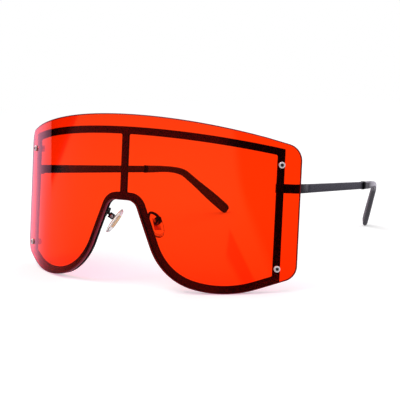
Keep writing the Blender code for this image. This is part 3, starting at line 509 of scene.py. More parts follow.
def refined(node, width):
    """A CAD node's shape with coplanar faces joined and its sharp edges rounded."""
    shape = bmesh.new()
    shape.from_mesh(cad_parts[node].data)
    bmesh.ops.remove_doubles(shape, verts=shape.verts, dist=2 * WELD)
    bmesh.ops.dissolve_limit(shape, angle_limit=radians(2), verts=shape.verts, edges=shape.edges)
    return soften(shape, width, 2)


def refined_pair(name, node, width, materials, bodies):
    for side, body in zip(SIDES, bodies):
        shape = refined(f"{node}_{side}", width)
        piece_from(f"{name}_{side}", shape, materials, body, [f"{node}_{side}"])


# Outlines on the flat sheet


def arc_at_corner(before, corner, after, radius):
    back, ahead = before - corner, after - corner
    half_turn = (pi - back.angle(ahead)) / 2
    if radius == 0 or half_turn < 1e-6:
        return [corner]
    reach = min(radius * tan(half_turn), back.length / 2, ahead.length / 2)
    radius = reach / tan(half_turn)
    centre = corner + (back.normalized() + ahead.normalized()).normalized() * radius / cos(half_turn)
    start = corner + back.normalized() * reach - centre
    steps = max(ceil(2 * half_turn / ARC_STEP), ceil(2 * half_turn * radius / EDGE_STEP))
    turn = (1 if back.cross(ahead) < 0 else -1) * 2 * half_turn / steps
    return [centre + Matrix.Rotation(turn * step, 2) @ start for step in range(steps + 1)]


def rounded(corners, closed=True):
    points = []
    for index, (corner, radius) in enumerate(corners):
        if not closed and index in (0, len(corners) - 1):
            points.append(corner)
        else:
            after = corners[(index + 1) % len(corners)][0]
            points += arc_at_corner(corners[index - 1][0], corner, after, radius)
    return points


def offset_path(points, distance):
    moved_points = []
    for index, point in enumerate(points):
        before = points[max(index - 1, 0)]
        after = points[min(index + 1, len(points) - 1)]
        heading = (after - before).normalized()
        moved_points.append(point + Vector((-heading.y, heading.x)) * distance)
    return moved_points


def stretch_of(points, low, high):
    """The stretch of a path between two places along the bend."""
    kept = []
    for start, end in zip(points, points[1:]):
        for edge in (low, high):
            if (start.x - edge) * (end.x - edge) < 0:
                kept.append(start.lerp(end, (edge - start.x) / (end.x - start.x)))
        if low < end.x < high:
            kept.append(end)
    return kept


def height_at(points, along):
    for start, end in zip(points, points[1:]):
        if min(start.x, end.x) <= along <= max(start.x, end.x) and start.x != end.x:
            return start.lerp(end, (along - start.x) / (end.x - start.x)).y
    return points[-1].y


def crown(along, middle_height, radius):
    return middle_height - along * along / (2 * radius)


def flip(corners):
    return [(Vector((-point.x, point.y)), radius) for point, radius in reversed(corners)]


LOWER_EDGE_CORNERS = [
    (Vector((along * LENS_HALF_WIDTH, rise * ARCH_HEIGHT)), radius) for (along, rise), radius in (
        (ARCH_SHOULDER_SHARES, ARCH_CORNER), (LOBE_INNER_SHARES, LOBE_INNER_ROUND),
        (LOBE_OUTER_SHARES, LOBE_OUTER_ROUND), (LOW_CORNER_SHARES, LENS_LOW_CORNER))]
TOP_CORNER = Vector((LENS_HALF_WIDTH, crown(LENS_HALF_WIDTH, LENS_HEIGHT, LENS_CROWN_RADIUS)))
LOWER_EDGE = rounded(flip(LOWER_EDGE_CORNERS) + LOWER_EDGE_CORNERS, closed=False)
RIM_LOW = offset_path(LOWER_EDGE, RIM_INSET)
RIM_TOP = offset_path(LOWER_EDGE, RIM_INSET + RIM_WIDTH)


def lens_outline():
    crown_end = LENS_HALF_WIDTH - 2 * LENS_TOP_CORNER
    steps = ceil(2 * crown_end / EDGE_STEP)
    edge = []
    for step in range(steps + 1):
        along = crown_end - 2 * crown_end * step / steps
        edge.append((Vector((along, crown(along, LENS_HEIGHT, LENS_CROWN_RADIUS))), 0))
    side = LOWER_EDGE_CORNERS + [(TOP_CORNER, LENS_TOP_CORNER)]
    return rounded(side + edge + flip(side))


def top_bar_edge(along, side):
    middle = crown(along, LENS_HEIGHT - TOP_BAR_DROP, TOP_BAR_CROWN_RADIUS)
    return Vector((along, middle + side * BAR_WIDTH / 2))


def top_bar_run(low, high, side):
    steps = ceil((high - low) / (2 * EDGE_STEP))
    return [top_bar_edge(low + (high - low) * step / steps, side) for step in range(steps + 1)]


def corner_loop(runs, radius):
    """Closed outline from runs of points; the corners between runs get a radius."""
    corners = []
    for run in runs:
        corners.append((run[0], radius))
        corners += [(point, 0) for point in run[1:-1]]
        corners.append((run[-1], radius))
    return rounded(corners)


def thinned(points, spacing):
    """A run with the points too close to its two ends left out."""
    first, *middle, last = points
    inner = [point for point in middle if min((point - first).length, (point - last).length) > spacing]
    return [first, *inner, last]


def front_outlines():
    """Outer outline of the brazed front, and its two windows."""
    outer_low = list(reversed(stretch_of(RIM_LOW, -FRAME_HALF_WIDTH, FRAME_HALF_WIDTH)))
    outer_top = top_bar_run(-FRAME_HALF_WIDTH, FRAME_HALF_WIDTH, 1)
    loops = [corner_loop([outer_top, thinned(outer_low, 2 * BRAZE_FILLET)], OUTER_CORNER)]
    near, far = BAR_WIDTH / 2, SIDE_BAR_CENTRE - BAR_WIDTH / 2
    for side in (1, -1):
        low, high = sorted((side * near, side * far))
        above = top_bar_run(low, high, -1)
        below = list(reversed(stretch_of(RIM_TOP, low, high)))
        loops.append(corner_loop([above, thinned(below, 2 * BRAZE_FILLET)], BRAZE_FILLET))
    return loops


# Bent plates


def sheet_point(along, height, depth):
    angle = along / SHEET_RADIUS
    radius = SHEET_RADIUS - depth
    return Vector((radius * sin(angle), SHEET_RADIUS - radius * cos(angle), height))


def sheet_place(along, height, depth):
    """Frame on the sheet: X along the bend, Y up, Z out of the front."""
    angle = along / SHEET_RADIUS
    tangent = Vector((cos(angle), sin(angle), 0))
    outward = Vector((sin(angle), -cos(angle), 0))
    turn = Matrix((tangent, Vector((0, 0, 1)), outward)).transposed().to_4x4()
    return Matrix.Translation(sheet_point(along, height, depth)) @ turn


def evaluated_mesh(made):
    """The mesh that a curve, or an object with modifiers, comes to."""
    bpy.context.view_layer.update()
    return bpy.data.meshes.new_from_object(made.evaluated_get(bpy.context.evaluated_depsgraph_get()))


def flat_plate(loops, thickness):
    """A plate in X and Y from its outlines, the first one outside and the rest windows."""
    curve = bpy.data.curves.new("outline", "CURVE")
    curve.dimensions = "2D"
    curve.fill_mode = "BOTH"
    curve.extrude = thickness / 2
    for loop in loops:
        spline = curve.splines.new("POLY")
        spline.points.add(len(loop) - 1)
        spline.use_cyclic_u = True
        for point, place in zip(spline.points, loop):
            point.co = (place.x, place.y, 0, 1)
    holder = new_object("outline", curve)
    mesh = evaluated_mesh(holder)
    bpy.data.objects.remove(holder, do_unlink=True)
    shape = bmesh.new()
    shape.from_mesh(mesh)
    bmesh.ops.remove_doubles(shape, verts=shape.verts, dist=WELD)
    bmesh.ops.recalc_face_normals(shape, faces=shape.faces)
    return shape


def bent_panel(loops, front, thickness, edge_round):
    """A plate cut from its outlines, edges rounded, bent with the sheet in fine columns.

    The two faces take the first material, the walls of the edges the second, the rounds the third.
    """
    shape = flat_plate(loops, thickness)
    inside = [edge for edge in shape.edges if len(edge.link_faces) == 2
              and all(abs(face.normal.z) > FLAT_NORMAL for face in edge.link_faces)]
    bmesh.ops.dissolve_limit(shape, angle_limit=radians(1), verts=[], edges=inside)
    soften(shape, edge_round)
    columns = ceil(LENS_HALF_WIDTH / COLUMN_STEP)
    for column in range(-columns, columns + 1):
        everything = shape.verts[:] + shape.edges[:] + shape.faces[:]
        bmesh.ops.bisect_plane(shape, geom=everything, dist=WELD, plane_co=(column * COLUMN_STEP, 0, 0),
                               plane_no=(1, 0, 0))
    for face in shape.faces:
        facing = abs(face.normal.z)
        face.material_index = 0 if facing > FLAT_NORMAL else 2 if facing > WALL_NORMAL else 1
    bmesh.ops.triangulate(shape, faces=shape.faces[:])
    middle = front + thickness / 2
    for vertex in shape.verts:
        vertex.co = sheet_point(vertex.co.x, vertex.co.y, middle - vertex.co.z)
    return shape


def set_sheet_normals(made, front, thickness):
    """Exact normals where the mesh lies on the two bent faces, so reflections stay even."""
    normals = []
    back_way = WEARER.inverted()
    turn = WEARER.to_3x3()
    for vertex in made.data.vertices:
        place = back_way @ vertex.co
        outward = Vector((place.x, place.y - SHEET_RADIUS, 0))
        depth = SHEET_RADIUS - outward.length
        outward = turn @ outward.normalized()
        if abs(depth - front) < ON_FACE:
            normals.append(outward)
        elif abs(depth - front - thickness) < ON_FACE:
            normals.append(-outward)
        else:
            normals.append(Vector((0, 0, 0)))
    made.data.normals_split_custom_set_from_vertices(normals)


def screw_heights():
    """Heights on the sheet of the two screws of each side bar."""
    upper = top_bar_edge(SIDE_BAR_CENTRE, -1).y - UPPER_SCREW_DROP
    lower = height_at(RIM_TOP, SIDE_BAR_CENTRE) + LOWER_SCREW_RISE
    return {"upper": upper, "lower": lower}


def screw_hole_rods():
    """Rods that cut the screws' holes in the lens."""
    hole, half = SCREW_RADIUS + RUNNING_FIT + BUSHING_WALL + SEAT_GAP, HOLE_CUT_HALF
    rods = []
    for height in screw_heights().values():
        for side in (1, -1):
            rod = lathe([(0, half), (hole, half), (hole, -half), (0, -half)])
            rods.append(moved(rod, WEARER @ sheet_place(side * SIDE_BAR_CENTRE, height, 0)))
    mesh = mesh_from("holes", merged(rods))
    mesh.materials.append(LENS_EDGE)
    return new_object("holes", mesh)


def make_lens():
    shape = moved(bent_panel([lens_outline()], 0, LENS_THICKNESS, LENS_EDGE_ROUND), WEARER)
    lens = piece_from("lens_shell", shape, [LENS, LENS_EDGE, LENS_BEVEL], "front", ["lens"], None)
    holes = screw_hole_rods()
    cut = lens.modifiers.new("holes", "BOOLEAN")
    cut.operation = "DIFFERENCE"
    cut.solver = "EXACT"
    cut.object = holes
    cut.material_mode = "TRANSFER"
    pierced = evaluated_mesh(lens)
    lens.modifiers.clear()
    lens.data = pierced
    bpy.data.objects.remove(holes, do_unlink=True)
    pierced.shade_smooth()
    set_sheet_normals(lens, 0, LENS_THICKNESS)


def make_front():
    shape = moved(bent_panel(front_outlines(), BAR_FRONT, BAR_THICKNESS, BAR_EDGE_ROUND), WEARER)
    surfaces = [FRONT_METAL, BLACK_EDGE, BLACK_EDGE]
    nodes = ["top_bar", "centre_bar", "side_bar_left", "side_bar_right", "lower_rim"]
    front = piece_from("metal_front", shape, surfaces, "front", nodes, None)
    set_sheet_normals(front, BAR_FRONT, BAR_THICKNESS)


# Fasteners


def lens_screw():
    """Domed head with a hexagon socket, threaded shank; Z 0 is the outer face of the lens."""
    seat, top = SEAT_GAP, SEAT_GAP + SCREW_HEAD_HEIGHT
    brim = seat + SCREW_HEAD_HEIGHT * SCREW_BRIM_SHARE
    floor = top - SOCKET_DEPTH
    mouth = SOCKET_RADIUS * SOCKET_MOUTH_SHARE
    profile = [(0, floor - SOCKET_POINT), (SOCKET_RADIUS * SOCKET_FLOOR_SHARE, floor, 6),
               (SOCKET_RADIUS, floor + SCREW_HEAD_EASE, 6), (SOCKET_RADIUS, top - SCREW_HEAD_EASE, 6),
               (mouth, top)]
    for step in range(1, DOME_STEPS + 1):
        turn = step / DOME_STEPS * pi / 2
        reach = mouth + (SCREW_HEAD_RADIUS - mouth) * sin(turn)
        profile.append((reach, brim + (top - brim) * cos(turn)))
    profile += [(SCREW_HEAD_RADIUS, seat + SCREW_HEAD_EASE), (SCREW_HEAD_RADIUS - SCREW_HEAD_EASE, seat),
                (SCREW_RADIUS, seat)]
    height = -BAR_BACK
    end = -(BAR_BACK + NUT_HEIGHT + THREAD_END)
    while height - THREAD_PITCH > end:
        profile += [(SCREW_RADIUS, height), (SCREW_RADIUS - THREAD_DEPTH, height - THREAD_PITCH / 2)]
        height -= THREAD_PITCH
    profile += [(SCREW_RADIUS, end + THREAD_END / 2), (SCREW_RADIUS - THREAD_END / 2, end), (0, end)]
    shape = lathe(profile)
    # Painted shade: the faces inside the socket take the second, dark material
    for face in shape.faces:
        middle = face.calc_center_median()
        if middle.z > seat and middle.xy.length < SOCKET_RADIUS:
            face.material_index = 1
    return shape


def bushing():
    """Flanged sleeve round a screw, through the lens."""
    inner = SCREW_RADIUS + RUNNING_FIT
    outer = inner + BUSHING_WALL
    flange = outer + BUSHING_WALL
    top, seat = -SEAT_GAP / 2, -(LENS_THICKNESS + SEAT_GAP / 2)
    end = -(BAR_FRONT - SEAT_GAP / 2)
    ease = BUSHING_EASE
    return lathe([(inner, top - ease), (inner + ease, top), (outer - ease, top), (outer, top - ease),
                  (outer, seat), (flange - ease, seat), (flange, seat - ease), (flange, end + ease),
                  (flange - ease, end), (inner, end)], closed=True)


def make_fasteners():
    for level, height in screw_heights().items():
        place = WEARER @ sheet_place(SIDE_BAR_CENTRE, height, 0)
        # The second material paints shade inside the screw's socket
        pair_from(f"socket_screw_{level}", moved(lens_screw(), place), [SCREW_STEEL, DARK_STEEL_AND_SOCKET_SHADE], ON_FRONT,
                  f"lens_screw_{level}", smooth_angle=radians(50))
        pair_from(f"clear_sleeve_{level}", moved(bushing(), place), [NYLON], ON_FRONT,
                  f"lens_bushing_{level}")
        refined_pair(f"hex_nut_{level}", f"lens_nut_{level}", NUT_EDGE_ROUND, [SCREW_STEEL, SCREW_STEEL],
                     ON_FRONT)


# Temples


def ring_barrel(low, high):
    """A hinge barrel with its bore and eased rims."""
    bore = HINGE_PIN_RADIUS + RUNNING_FIT
    rim = [(KNUCKLE_RADIUS - KNUCKLE_ROUND, 0), (KNUCKLE_RADIUS - KNUCKLE_ROUND_MIDDLE, KNUCKLE_ROUND_MIDDLE),
           (KNUCKLE_RADIUS, KNUCKLE_ROUND)]
    upper = [(radius, high - depth) for radius, depth in rim]
    lower = [(radius, low + depth) for radius, depth in reversed(rim)]
    return lathe([(bore, high), *upper, *lower, (bore, low)], closed=True)


def arm_blade():
    """Tapering flat blade with rounded edges, from the joint to the tip's mouth."""
    shape = bmesh.new()
    rings = []
    start, end = STOP_GAP / 2, ARM_LENGTH + SEAT_GAP + ARM_INTO_TIP
    low, high = ARM_CENTRE - ARM_THICKNESS / 2, ARM_CENTRE + ARM_THICKNESS / 2
    for step in range(ARM_STEPS + 1):
        part = step / ARM_STEPS
        half = (ARM_HINGE_HEIGHT + (ARM_END_HEIGHT - ARM_HINGE_HEIGHT) * part) / 2
        back = start + (end - start) * part
        corners = ((low, -half), (high, -half), (high, half), (low, half))
        rings.append([shape.verts.new((x, back, z)) for x, z in corners])
    return soften(lofted(shape, rings), ARM_EDGE_ROUND, 4)


def make_temples():
    leaf = box_shape((ARM_INNER - LEAF_THICKNESS, 0, -MIDDLE_KNUCKLE_HALF),
                     (ARM_INNER + LEAF_INTO_ARM, LEAF_LENGTH, MIDDLE_KNUCKLE_HALF))
    barrel = ring_barrel(-MIDDLE_KNUCKLE_HALF, MIDDLE_KNUCKLE_HALF)
    arm = merged([arm_blade(), soften(leaf, LEAF_EDGE_ROUND, 2), barrel])
    pair_from("temple_blade", moved(arm, HINGE), [GUNMETAL, GUNMETAL_EDGE], ON_TEMPLES,
              "temple_arm")
    pair_from("ear_tip", moved(tip_shape(), HINGE), [TIP, TIP_RING], ON_TEMPLES, "temple_tip",
              smooth_angle=radians(60))


def share_along(table, place):
    """The eased share at a place, from a table of (place, share)."""
    for (start, low), (end, high) in zip(table, table[1:]):
        if start <= place <= end:
            part = (place - start) / (end - start)
            return low + (high - low) * part * part * (3 - 2 * part)
    return table[-1][1]


def tip_route():
    """Centre line of the tip: straight sleeve, eased bend, straight leg, in fine steps."""
    mouth = Vector((ARM_CENTRE, ARM_LENGTH + SEAT_GAP, 0))
    bend = mouth + Vector((0, TIP_STRAIGHT, 0))
    leg = bend + Vector((-TIP_BEND_IN, TIP_BEND_BACK, -TIP_BEND_FALL))
    level = cos(TIP_LEG_FALL)
    heading = Vector((-sin(TIP_LEG_IN) * level, cos(TIP_LEG_IN) * level, -sin(TIP_LEG_FALL)))
    first = bend + Vector((0, TIP_BEND_EASE, 0))
    last = leg - heading * TIP_BEND_EASE
    points = [mouth.lerp(bend, step / TIP_SLEEVE_STEPS) for step in range(TIP_SLEEVE_STEPS)]
    for step in range(TIP_BEND_STEPS):
        part = step / TIP_BEND_STEPS
        rest = 1 - part
        points.append(bend * rest ** 3 + first * 3 * rest ** 2 * part + last * 3 * rest * part ** 2
                      + leg * part ** 3)
    straight = TIP_LEG - TIP_END_ROUND
    points += [leg + heading * straight * step / TIP_LEG_STEPS for step in range(TIP_LEG_STEPS + 1)]
    for step in range(1, TIP_END_STEPS + 1):
        points.append(leg + heading * (straight + TIP_END_ROUND * sin(step / TIP_END_STEPS * pi / 2)))
    return points


def tip_ring(shape, centre, heading, height, thickness):
    """The tip's section at a point of its route: a rectangle with rounded corners."""
    side = heading.cross(Vector((0, 0, 1))).normalized()
    up = side.cross(heading).normalized()
    corner = min(TIP_EDGE_ROUND, height / 2, thickness / 2)
    ring = []
    for quarter in range(4):
        across = (1, -1, -1, 1)[quarter] * (thickness / 2 - corner)
        rise = (1, 1, -1, -1)[quarter] * (height / 2 - corner)
        for step in range(TIP_CORNER_STEPS + 1):
            angle = (quarter + step / TIP_CORNER_STEPS) * pi / 2
            ring.append(shape.verts.new(centre + side * (across + corner * cos(angle))
                                        + up * (rise + corner * sin(angle))))
    return ring


def tip_shape():
    """Loft along the route with a rolled lip at the mouth and a rounded end."""
    route = tip_route()
    travelled = [0]
    for start, end in zip(route, route[1:]):
        travelled.append(travelled[-1] + (end - start).length)
    total = travelled[-1]
    shape = bmesh.new()
    rings = []
    lip = TIP_MOUTH_ROUND
    heading = (route[1] - route[0]).normalized()
    height = TIP_HEIGHT * TIP_HEIGHT_SHARES[0][1]
    thickness = TIP_THICKNESS * TIP_THICKNESS_SHARES[0][1]
    for step in range(4):
        turn = step * pi / 8
        pull = 2 * lip * (1 - sin(turn))
        rings.append(tip_ring(shape, route[0] + heading * lip * (1 - cos(turn)), heading,
                              height - pull, thickness - pull))
    for index, centre in enumerate(route):
        if travelled[index] < lip:
            continue
        heading = (route[min(index + 1, len(route) - 1)] - route[max(index - 1, 0)]).normalized()
        place = travelled[index] / total
        height = TIP_HEIGHT * share_along(TIP_HEIGHT_SHARES, place)
        thickness = TIP_THICKNESS * share_along(TIP_THICKNESS_SHARES, place)
        left = min((total - travelled[index]) / TIP_END_ROUND, 1)
        closing = sqrt(max(1 - (1 - left) ** 2, 0))
        height -= 2 * TIP_END_ROUND * (1 - closing) * TIP_END_SQUARE_SHARE
        thickness *= closing * TIP_END_THIN_SHARE + 1 - TIP_END_THIN_SHARE
        rings.append(tip_ring(shape, centre, heading, height, thickness))
    ringed = [ring for ring in rings[1:] if (ring[0].co - rings[0][0].co).length < TIP_RING_LENGTH]
    return lofted(shape, rings, len(ringed))


# Nose pads


def pad_shape():
    """A squarish oval pad with a full skin side and a flatter back."""
    shape = bmesh.new()
    bmesh.ops.create_uvsphere(shape, u_segments=64, v_segments=40, radius=1)
    for vertex in shape.verts:
        point = vertex.co
        turn = atan2(point.y, point.x)
        power = 2 * PAD_SQUARENESS
        oval = (abs(cos(turn)) ** power + abs(sin(turn)) ** power) ** (-1 / power)
        spread = oval * hypot(point.x, point.y) ** PAD_EDGE_FULLNESS
        bulge = PAD_SKIN_BULGE if point.z > 0 else PAD_BACK_BULGE
        vertex.co = Vector((spread * cos(turn) * PAD_WIDTH / 2,
                            spread * sin(turn) * PAD_LENGTH / 2 - PAD_SEAT_RISE,
                            INSERT_BACK + PAD_BACK_BULGE + point.z * bulge))
    return shape


def make_pads():
    pair_from("clear_pad", moved(pad_shape(), PAD), [SILICONE], ON_PADS, "nose_pad", None)
    refined_pair("gold_mount", "pad_insert", INSERT_EDGE_ROUND, [GOLD, GOLD], ON_PADS)


def make_fittings():
    """The small parts whose CAD shape is kept, with rounded edges."""
    for name, node, width, materials, slot in (
            ("end_strip", "end_piece", 0.14 * MM, [BLACK_METAL, BLACK_EDGE], "front_metal"),
            ("hinge_pin", "hinge_screw", 0.06 * MM, [DARK_STEEL_AND_SOCKET_SHADE, DARK_STEEL_AND_SOCKET_SHADE], "screw_steel"),
            ("guard_arm", "pad_arm", 0.08 * MM, [BLACK_METAL, BLACK_EDGE], "front_metal"),
            ("pad_pin", "pad_screw", 0.05 * MM, [STEEL, STEEL_EDGE], "screw_steel")):
        refined_pair(name, node, width, materials, ON_FRONT)


make_lens()
make_front()
make_fasteners()
make_temples()
make_pads()
make_fittings()


# Floor, world and light

WHITE = (1, 1, 1)

# Table: own light that lifts its shadow, shade, radius, and distances over which it fades to white
FLOOR_LIFT = 0.32
TABLE_SHADE = (0.88, 0.88, 0.885)
TABLE_RADIUS = 6.0
FADE_START = 0.22
FADE_END = 0.6

# Painted shade: stretches of the table that are white to the eye and show darker through the tinted lens.
# Each has a colour, a point inside, and the lines that bound it (start, end, ease)
PAINTED_SHADE_PATCHES = (
    ((1.0, 0.37, 0.02), (-0.3053, 0.2618), (((-0.4529, 0.4277), (-0.2016, 0.1216), 0.0007),
                                            ((-0.4113, 0.4303), (-0.1981, 0.1191), 0.002))),
    ((1.0, 0.66, 0.1), (-0.0047, 0.072), (((-0.134, 0.245), (-0.0647, 0.1326), 0.004),
                                          ((-0.0647, 0.1326), (0.0167, 0.015), 0.004))),
    ((1.0, 0.6, 0.3), (0.0149, -0.0087), (((-0.018, 0.0421), (0.0365, -0.0309), 0.0009),
                                          ((-0.018, 0.0421), (0.0114, -0.0102), 0.0009),
                                          ((0.0114, -0.0102), (0.0394, -0.0455), 0.002))),
)

# Painted shade, also seen only through the lens: the table darkens towards its near side, between two
# distances in the direction away
AWAY = (-0.5372, 0.8435)
NEAR_START = -0.07
NEAR_END = 0.15
NEAR_SHADE = (1.0, 0.84, 0.6)

# What the glasses mirror round the horizon (degrees, level): a white sweep behind, a dim room in front
SWEEP = ((-180, 1.3), (-166, 1.2), (-158, 0.1), (-128, 0.08), (-122, 1.0), (-108, 1.0), (-104.5, 0.9),
         (-100.5, 0.66), (-96.6, 0.5), (-94, 0.38), (-91, 0.33), (-88, 0.0), (88, 0.0), (94, 0.34),
         (122, 1.0), (140, 1.0), (146, 0.3), (160, 0.28), (166, 0.36), (171, 0.9), (176, 1.3))
ROOM = ((-97, 0.36), (-90, 0.32), (-80, 0.26), (-67, 0.18), (-50, 0.13), (-25, 0.1), (22, 0.09),
        (31, 0.04), (62, 0.03), (68, 0.8), (88, 0.8), (92, 0.3))

# Edges of the black flag: change of azimuth with Z, azimuth at the horizon, ease
FLAG_LOW = (-1.46, radians(-95.2), radians(0.5))
FLAG_HIGH = (3.5, radians(-77.1), radians(3.0))

# Levels above and below the horizon, and of what lies behind the lens
CEILING = 0.6
BELOW = 0.6
BEHIND_LEVEL = 0.62
BEHIND_SIDE_LEVEL = 0.5
BEHIND_LEAST = 0.03
BEHIND_FLAG_SHARE = 0.7

# Colours of the mirrored room, and of the rosy zone of its sweep
PALE_LILAC = (0.93, 0.87, 1.0)
ROSE = (2.3, 0.84, 1.25)

LIGHT_TARGET = Vector((0, 0, 0.03))


def blended(tree, share, first, second):
    """A colour between two, each a colour or an output."""
    first, second = ((*colour, 1) if isinstance(colour, tuple) else colour for colour in (first, second))
    return new_node(tree, "ShaderNodeMix", {0: share, 6: first, 7: second}, data_type="RGBA").outputs[2]


def multiplied(tree, first, second):
    inputs = {0: first, 1: second}
    return new_node(tree, "ShaderNodeVectorMath", inputs, operation="MULTIPLY").outputs["Vector"]


def along_table(tree, place, direction, start):
    """Distance over the table in a direction from a start point."""
    node = new_node(tree, "ShaderNodeVectorMath", {0: place, 1: (*direction, 0)}, operation="DOT_PRODUCT")
    return maths(tree, "SUBTRACT", node.outputs["Value"], Vector(direction).dot(start))


def inside_line(tree, place, line, inner):
    """1 on the side of a line where a point inside is, eased to 0 on the other."""
    start, end, ease = line
    start, end, inner = Vector(start), Vector(end), Vector(inner)
    across = (end - start).normalized()
    across = Vector((-across.y, across.x))
    if across.dot(inner - start) < 0:
        across = -across
    return remap(tree, along_table(tree, place, across, start), -ease, ease, 0.0, 1.0)


def table_with_painted_shade(tree, place, through):
    """White for the eye; for rays through clear pieces, the table with painted shade: a darker near side and
    darker patches.
    """
    distance = along_table(tree, place, AWAY, Vector((0, 0)))
    nearness = remap(tree, distance, NEAR_START, NEAR_END, 1.0, 0.0)
    tone = blended(tree, nearness, WHITE, NEAR_SHADE)
    # Each patch paints shade on the table for rays through clear pieces
    for colour, inner, lines in PAINTED_SHADE_PATCHES:
        share = through
        for line in lines:
            share = times(tree, share, inside_line(tree, place, line, inner))
        tone = multiplied(tree, tone, blended(tree, share, WHITE, colour))
    return blended(tree, through, WHITE, tone)


def ways_of_seeing(tree):
    """Shares of a ray: seen by the eye, sent through a clear piece, seen straight through, mirrored."""
    path = new_node(tree, "ShaderNodeLightPath")
    sent = path.outputs["Is Transmission Ray"]
    bounced = maths(tree, "ADD", path.outputs["Diffuse Depth"], path.outputs["Glossy Depth"])
    straight = maths(tree, "SUBTRACT", 1.0, maths(tree, "MINIMUM", bounced, 1.0))
    through = times(tree, sent, straight)
    reflected = times(tree, path.outputs["Is Glossy Ray"], maths(tree, "SUBTRACT", 1.0, sent))
    return path.outputs["Is Camera Ray"], sent, through, reflected


def make_floor():
    """Pale table that keeps the soft shadow near the glasses and fades to plain white."""
    shape = bmesh.new()
    bmesh.ops.create_circle(shape, cap_ends=True, segments=96, radius=TABLE_RADIUS)
    mesh = mesh_from("floor", shape)
    floor = new_object("floor", mesh)
    made, tree, shader = new_material("pale_table")
    mesh.materials.append(made)
    eye_ray, _, through, reflected = ways_of_seeing(tree)
    white = maths(tree, "ADD", eye_ray, through)
    place = new_node(tree, "ShaderNodeTexCoord").outputs["Object"]
    # Painted shade on the table, seen only through clear pieces
    tone = table_with_painted_shade(tree, place, through)
    feed(tree, shader, {
        "Roughness": 0.9, "Specular IOR Level": 0.0, "Base Color": multiplied(tree, tone, TABLE_SHADE),
        "Emission Color": tone, "Emission Strength": times(tree, white, FLOOR_LIFT)})
    plain = new_node(tree, "ShaderNodeEmission", {"Color": tone, "Strength": white}).outputs["Emission"]
    distance = new_node(tree, "ShaderNodeVectorMath", {0: place}, operation="LENGTH").outputs["Value"]
    fade = remap(tree, distance, FADE_START, FADE_END, 0.0, 1.0)
    table = mixed(tree, fade, shader.outputs["BSDF"], plain)
    clear = new_node(tree, "ShaderNodeBsdfTransparent").outputs["BSDF"]
    feed(tree, tree.nodes["Material Output"], {"Surface": mixed(tree, reflected, table, clear)})


def level_ramp(tree, angle, stops):
    """Level over an angle from -180 to 180 degrees; stops are (degrees, level)."""
    turn = new_node(tree, "ShaderNodeMapRange", {"Value": angle, "From Min": -pi, "From Max": pi})
    return tint(tree, turn.outputs["Result"], [((place + 180) / 360, (level,) * 3) for place, level in stops])


def between(tree, value, low, high, low_ease, high_ease):
    """1 where a value lies between two others, eased at both."""
    above = remap(tree, maths(tree, "SUBTRACT", value, low), -low_ease, low_ease, 0.0, 1.0)
    below = remap(tree, maths(tree, "SUBTRACT", high, value), -high_ease, high_ease, 0.0, 1.0)
    return times(tree, above, below)


def slanted(tree, z, edge):
    """Azimuth of a flag's edge at a height."""
    slope, start, _ = edge
    return maths(tree, "ADD", times(tree, z, slope), start)


def room_light(tree, azimuth, z):
    """Level of the mirrored studio round the horizon, and its share that the black flag leaves."""
    slip = maths(tree, "SUBTRACT", azimuth, remap(tree, z, -0.105, -0.035, 0.0, 0.07))
    sweep = level_ramp(tree, slip, SWEEP)
    room = level_ramp(tree, azimuth, ROOM)
    flag = between(tree, azimuth, slanted(tree, z, FLAG_LOW), slanted(tree, z, FLAG_HIGH),
                   FLAG_LOW[2], FLAG_HIGH[2])
    sweep = times(tree, sweep, remap(tree, z, -0.3, -0.2, 0.2, 1.0))
    return maths(tree, "MAXIMUM", sweep, room), maths(tree, "SUBTRACT", 1.0, flag)


def light_behind(tree, azimuth, unflagged, above):
    """Extra level of what shows through the tinted lens."""
    level = times(tree, between(tree, azimuth, radians(-120), radians(20), 0.1, radians(5)), BEHIND_LEVEL)
    side = remap(tree, azimuth, radians(95), radians(105), 0.0, BEHIND_SIDE_LEVEL)
    level = maths(tree, "ADD", maths(tree, "MAXIMUM", level, side), BEHIND_LEAST)
    dimmed = maths(tree, "ADD", times(tree, unflagged, BEHIND_FLAG_SHARE), 1 - BEHIND_FLAG_SHARE)
    return maths(tree, "MAXIMUM", times(tree, level, dimmed), above)


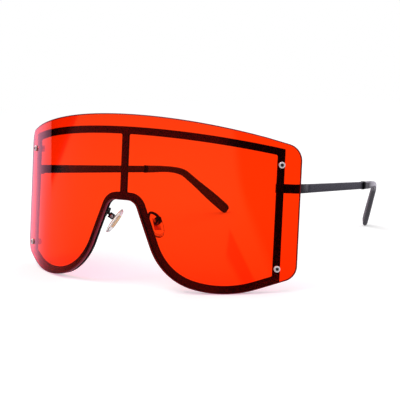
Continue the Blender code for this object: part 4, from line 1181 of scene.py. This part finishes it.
def make_world():
    """White all round for what is seen, the studio for the rest, brighter behind the tinted lens."""
    world = bpy.data.worlds.new("studio")
    bpy.context.scene.world = world
    world.use_nodes = True
    tree = world.node_tree
    place = new_node(tree, "ShaderNodeTexCoord").outputs["Generated"]
    split = new_node(tree, "ShaderNodeSeparateXYZ", {"Vector": place})
    x, y, z = (split.outputs[axis] for axis in "XYZ")
    azimuth = maths(tree, "ARCTAN2", x, times(tree, y, -1.0))
    horizon, unflagged = room_light(tree, azimuth, z)
    below = remap(tree, z, -0.2, -0.45, 0.0, BELOW)
    ceiling = remap(tree, z, 0.15, 0.6, 0.0, CEILING)
    above = maths(tree, "MAXIMUM", below, ceiling)
    room = maths(tree, "MAXIMUM", times(tree, horizon, unflagged), above)
    eye_ray, sent, through, reflected = ways_of_seeing(tree)
    seen = maths(tree, "MAXIMUM", eye_ray, through)
    behind = times(tree, light_behind(tree, azimuth, unflagged, above), sent)
    lit = maths(tree, "MAXIMUM", room, behind)
    rosy = between(tree, azimuth, radians(-122), radians(-89), radians(2), radians(2))
    rosy = times(tree, rosy, remap(tree, z, -0.24, -0.18, 0.0, 1.0))
    tone = blended(tree, rosy, PALE_LILAC, ROSE)
    feed(tree, tree.nodes["Background"], {"Color": blended(tree, reflected, WHITE, tone),
                                          "Strength": maths(tree, "MAXIMUM", seen, lit)})


def area_light(name, place, size, power):
    light = bpy.data.lights.new(name, "AREA")
    light.shape = "RECTANGLE"
    light.size, light.size_y = size
    light.energy = power
    made = new_object(name, light)
    made.location = place
    made.rotation_euler = (LIGHT_TARGET - Vector(place)).to_track_quat("-Z", "Y").to_euler()


make_floor()
make_world()
area_light("soft_key", (-0.5, -0.35, 1.1), size=(0.7, 0.7), power=6.0)
area_light("soft_fill", (0.6, 0.5, 1.0), size=(0.8, 0.8), power=1.0)

# Camera at the photograph's place: focal length, axes (right, up, back) and point
CAMERA_LENS = 124.63
CAMERA_AXES = ((0.84651, 0.531307, -0.033682), (-0.073754, 0.179696, 0.980954), (0.52724, -0.827903, 0.1913))
CAMERA_POINT = (0.345524, -0.556203, 0.15219)

camera = bpy.data.cameras.new("camera")
camera.sensor_width = 36
camera.lens = CAMERA_LENS
eye = new_object("camera", camera)
eye.matrix_world = from_axes(CAMERA_AXES, CAMERA_POINT)
bpy.context.scene.camera = eye
bpy.context.scene.view_settings.view_transform = "Standard"
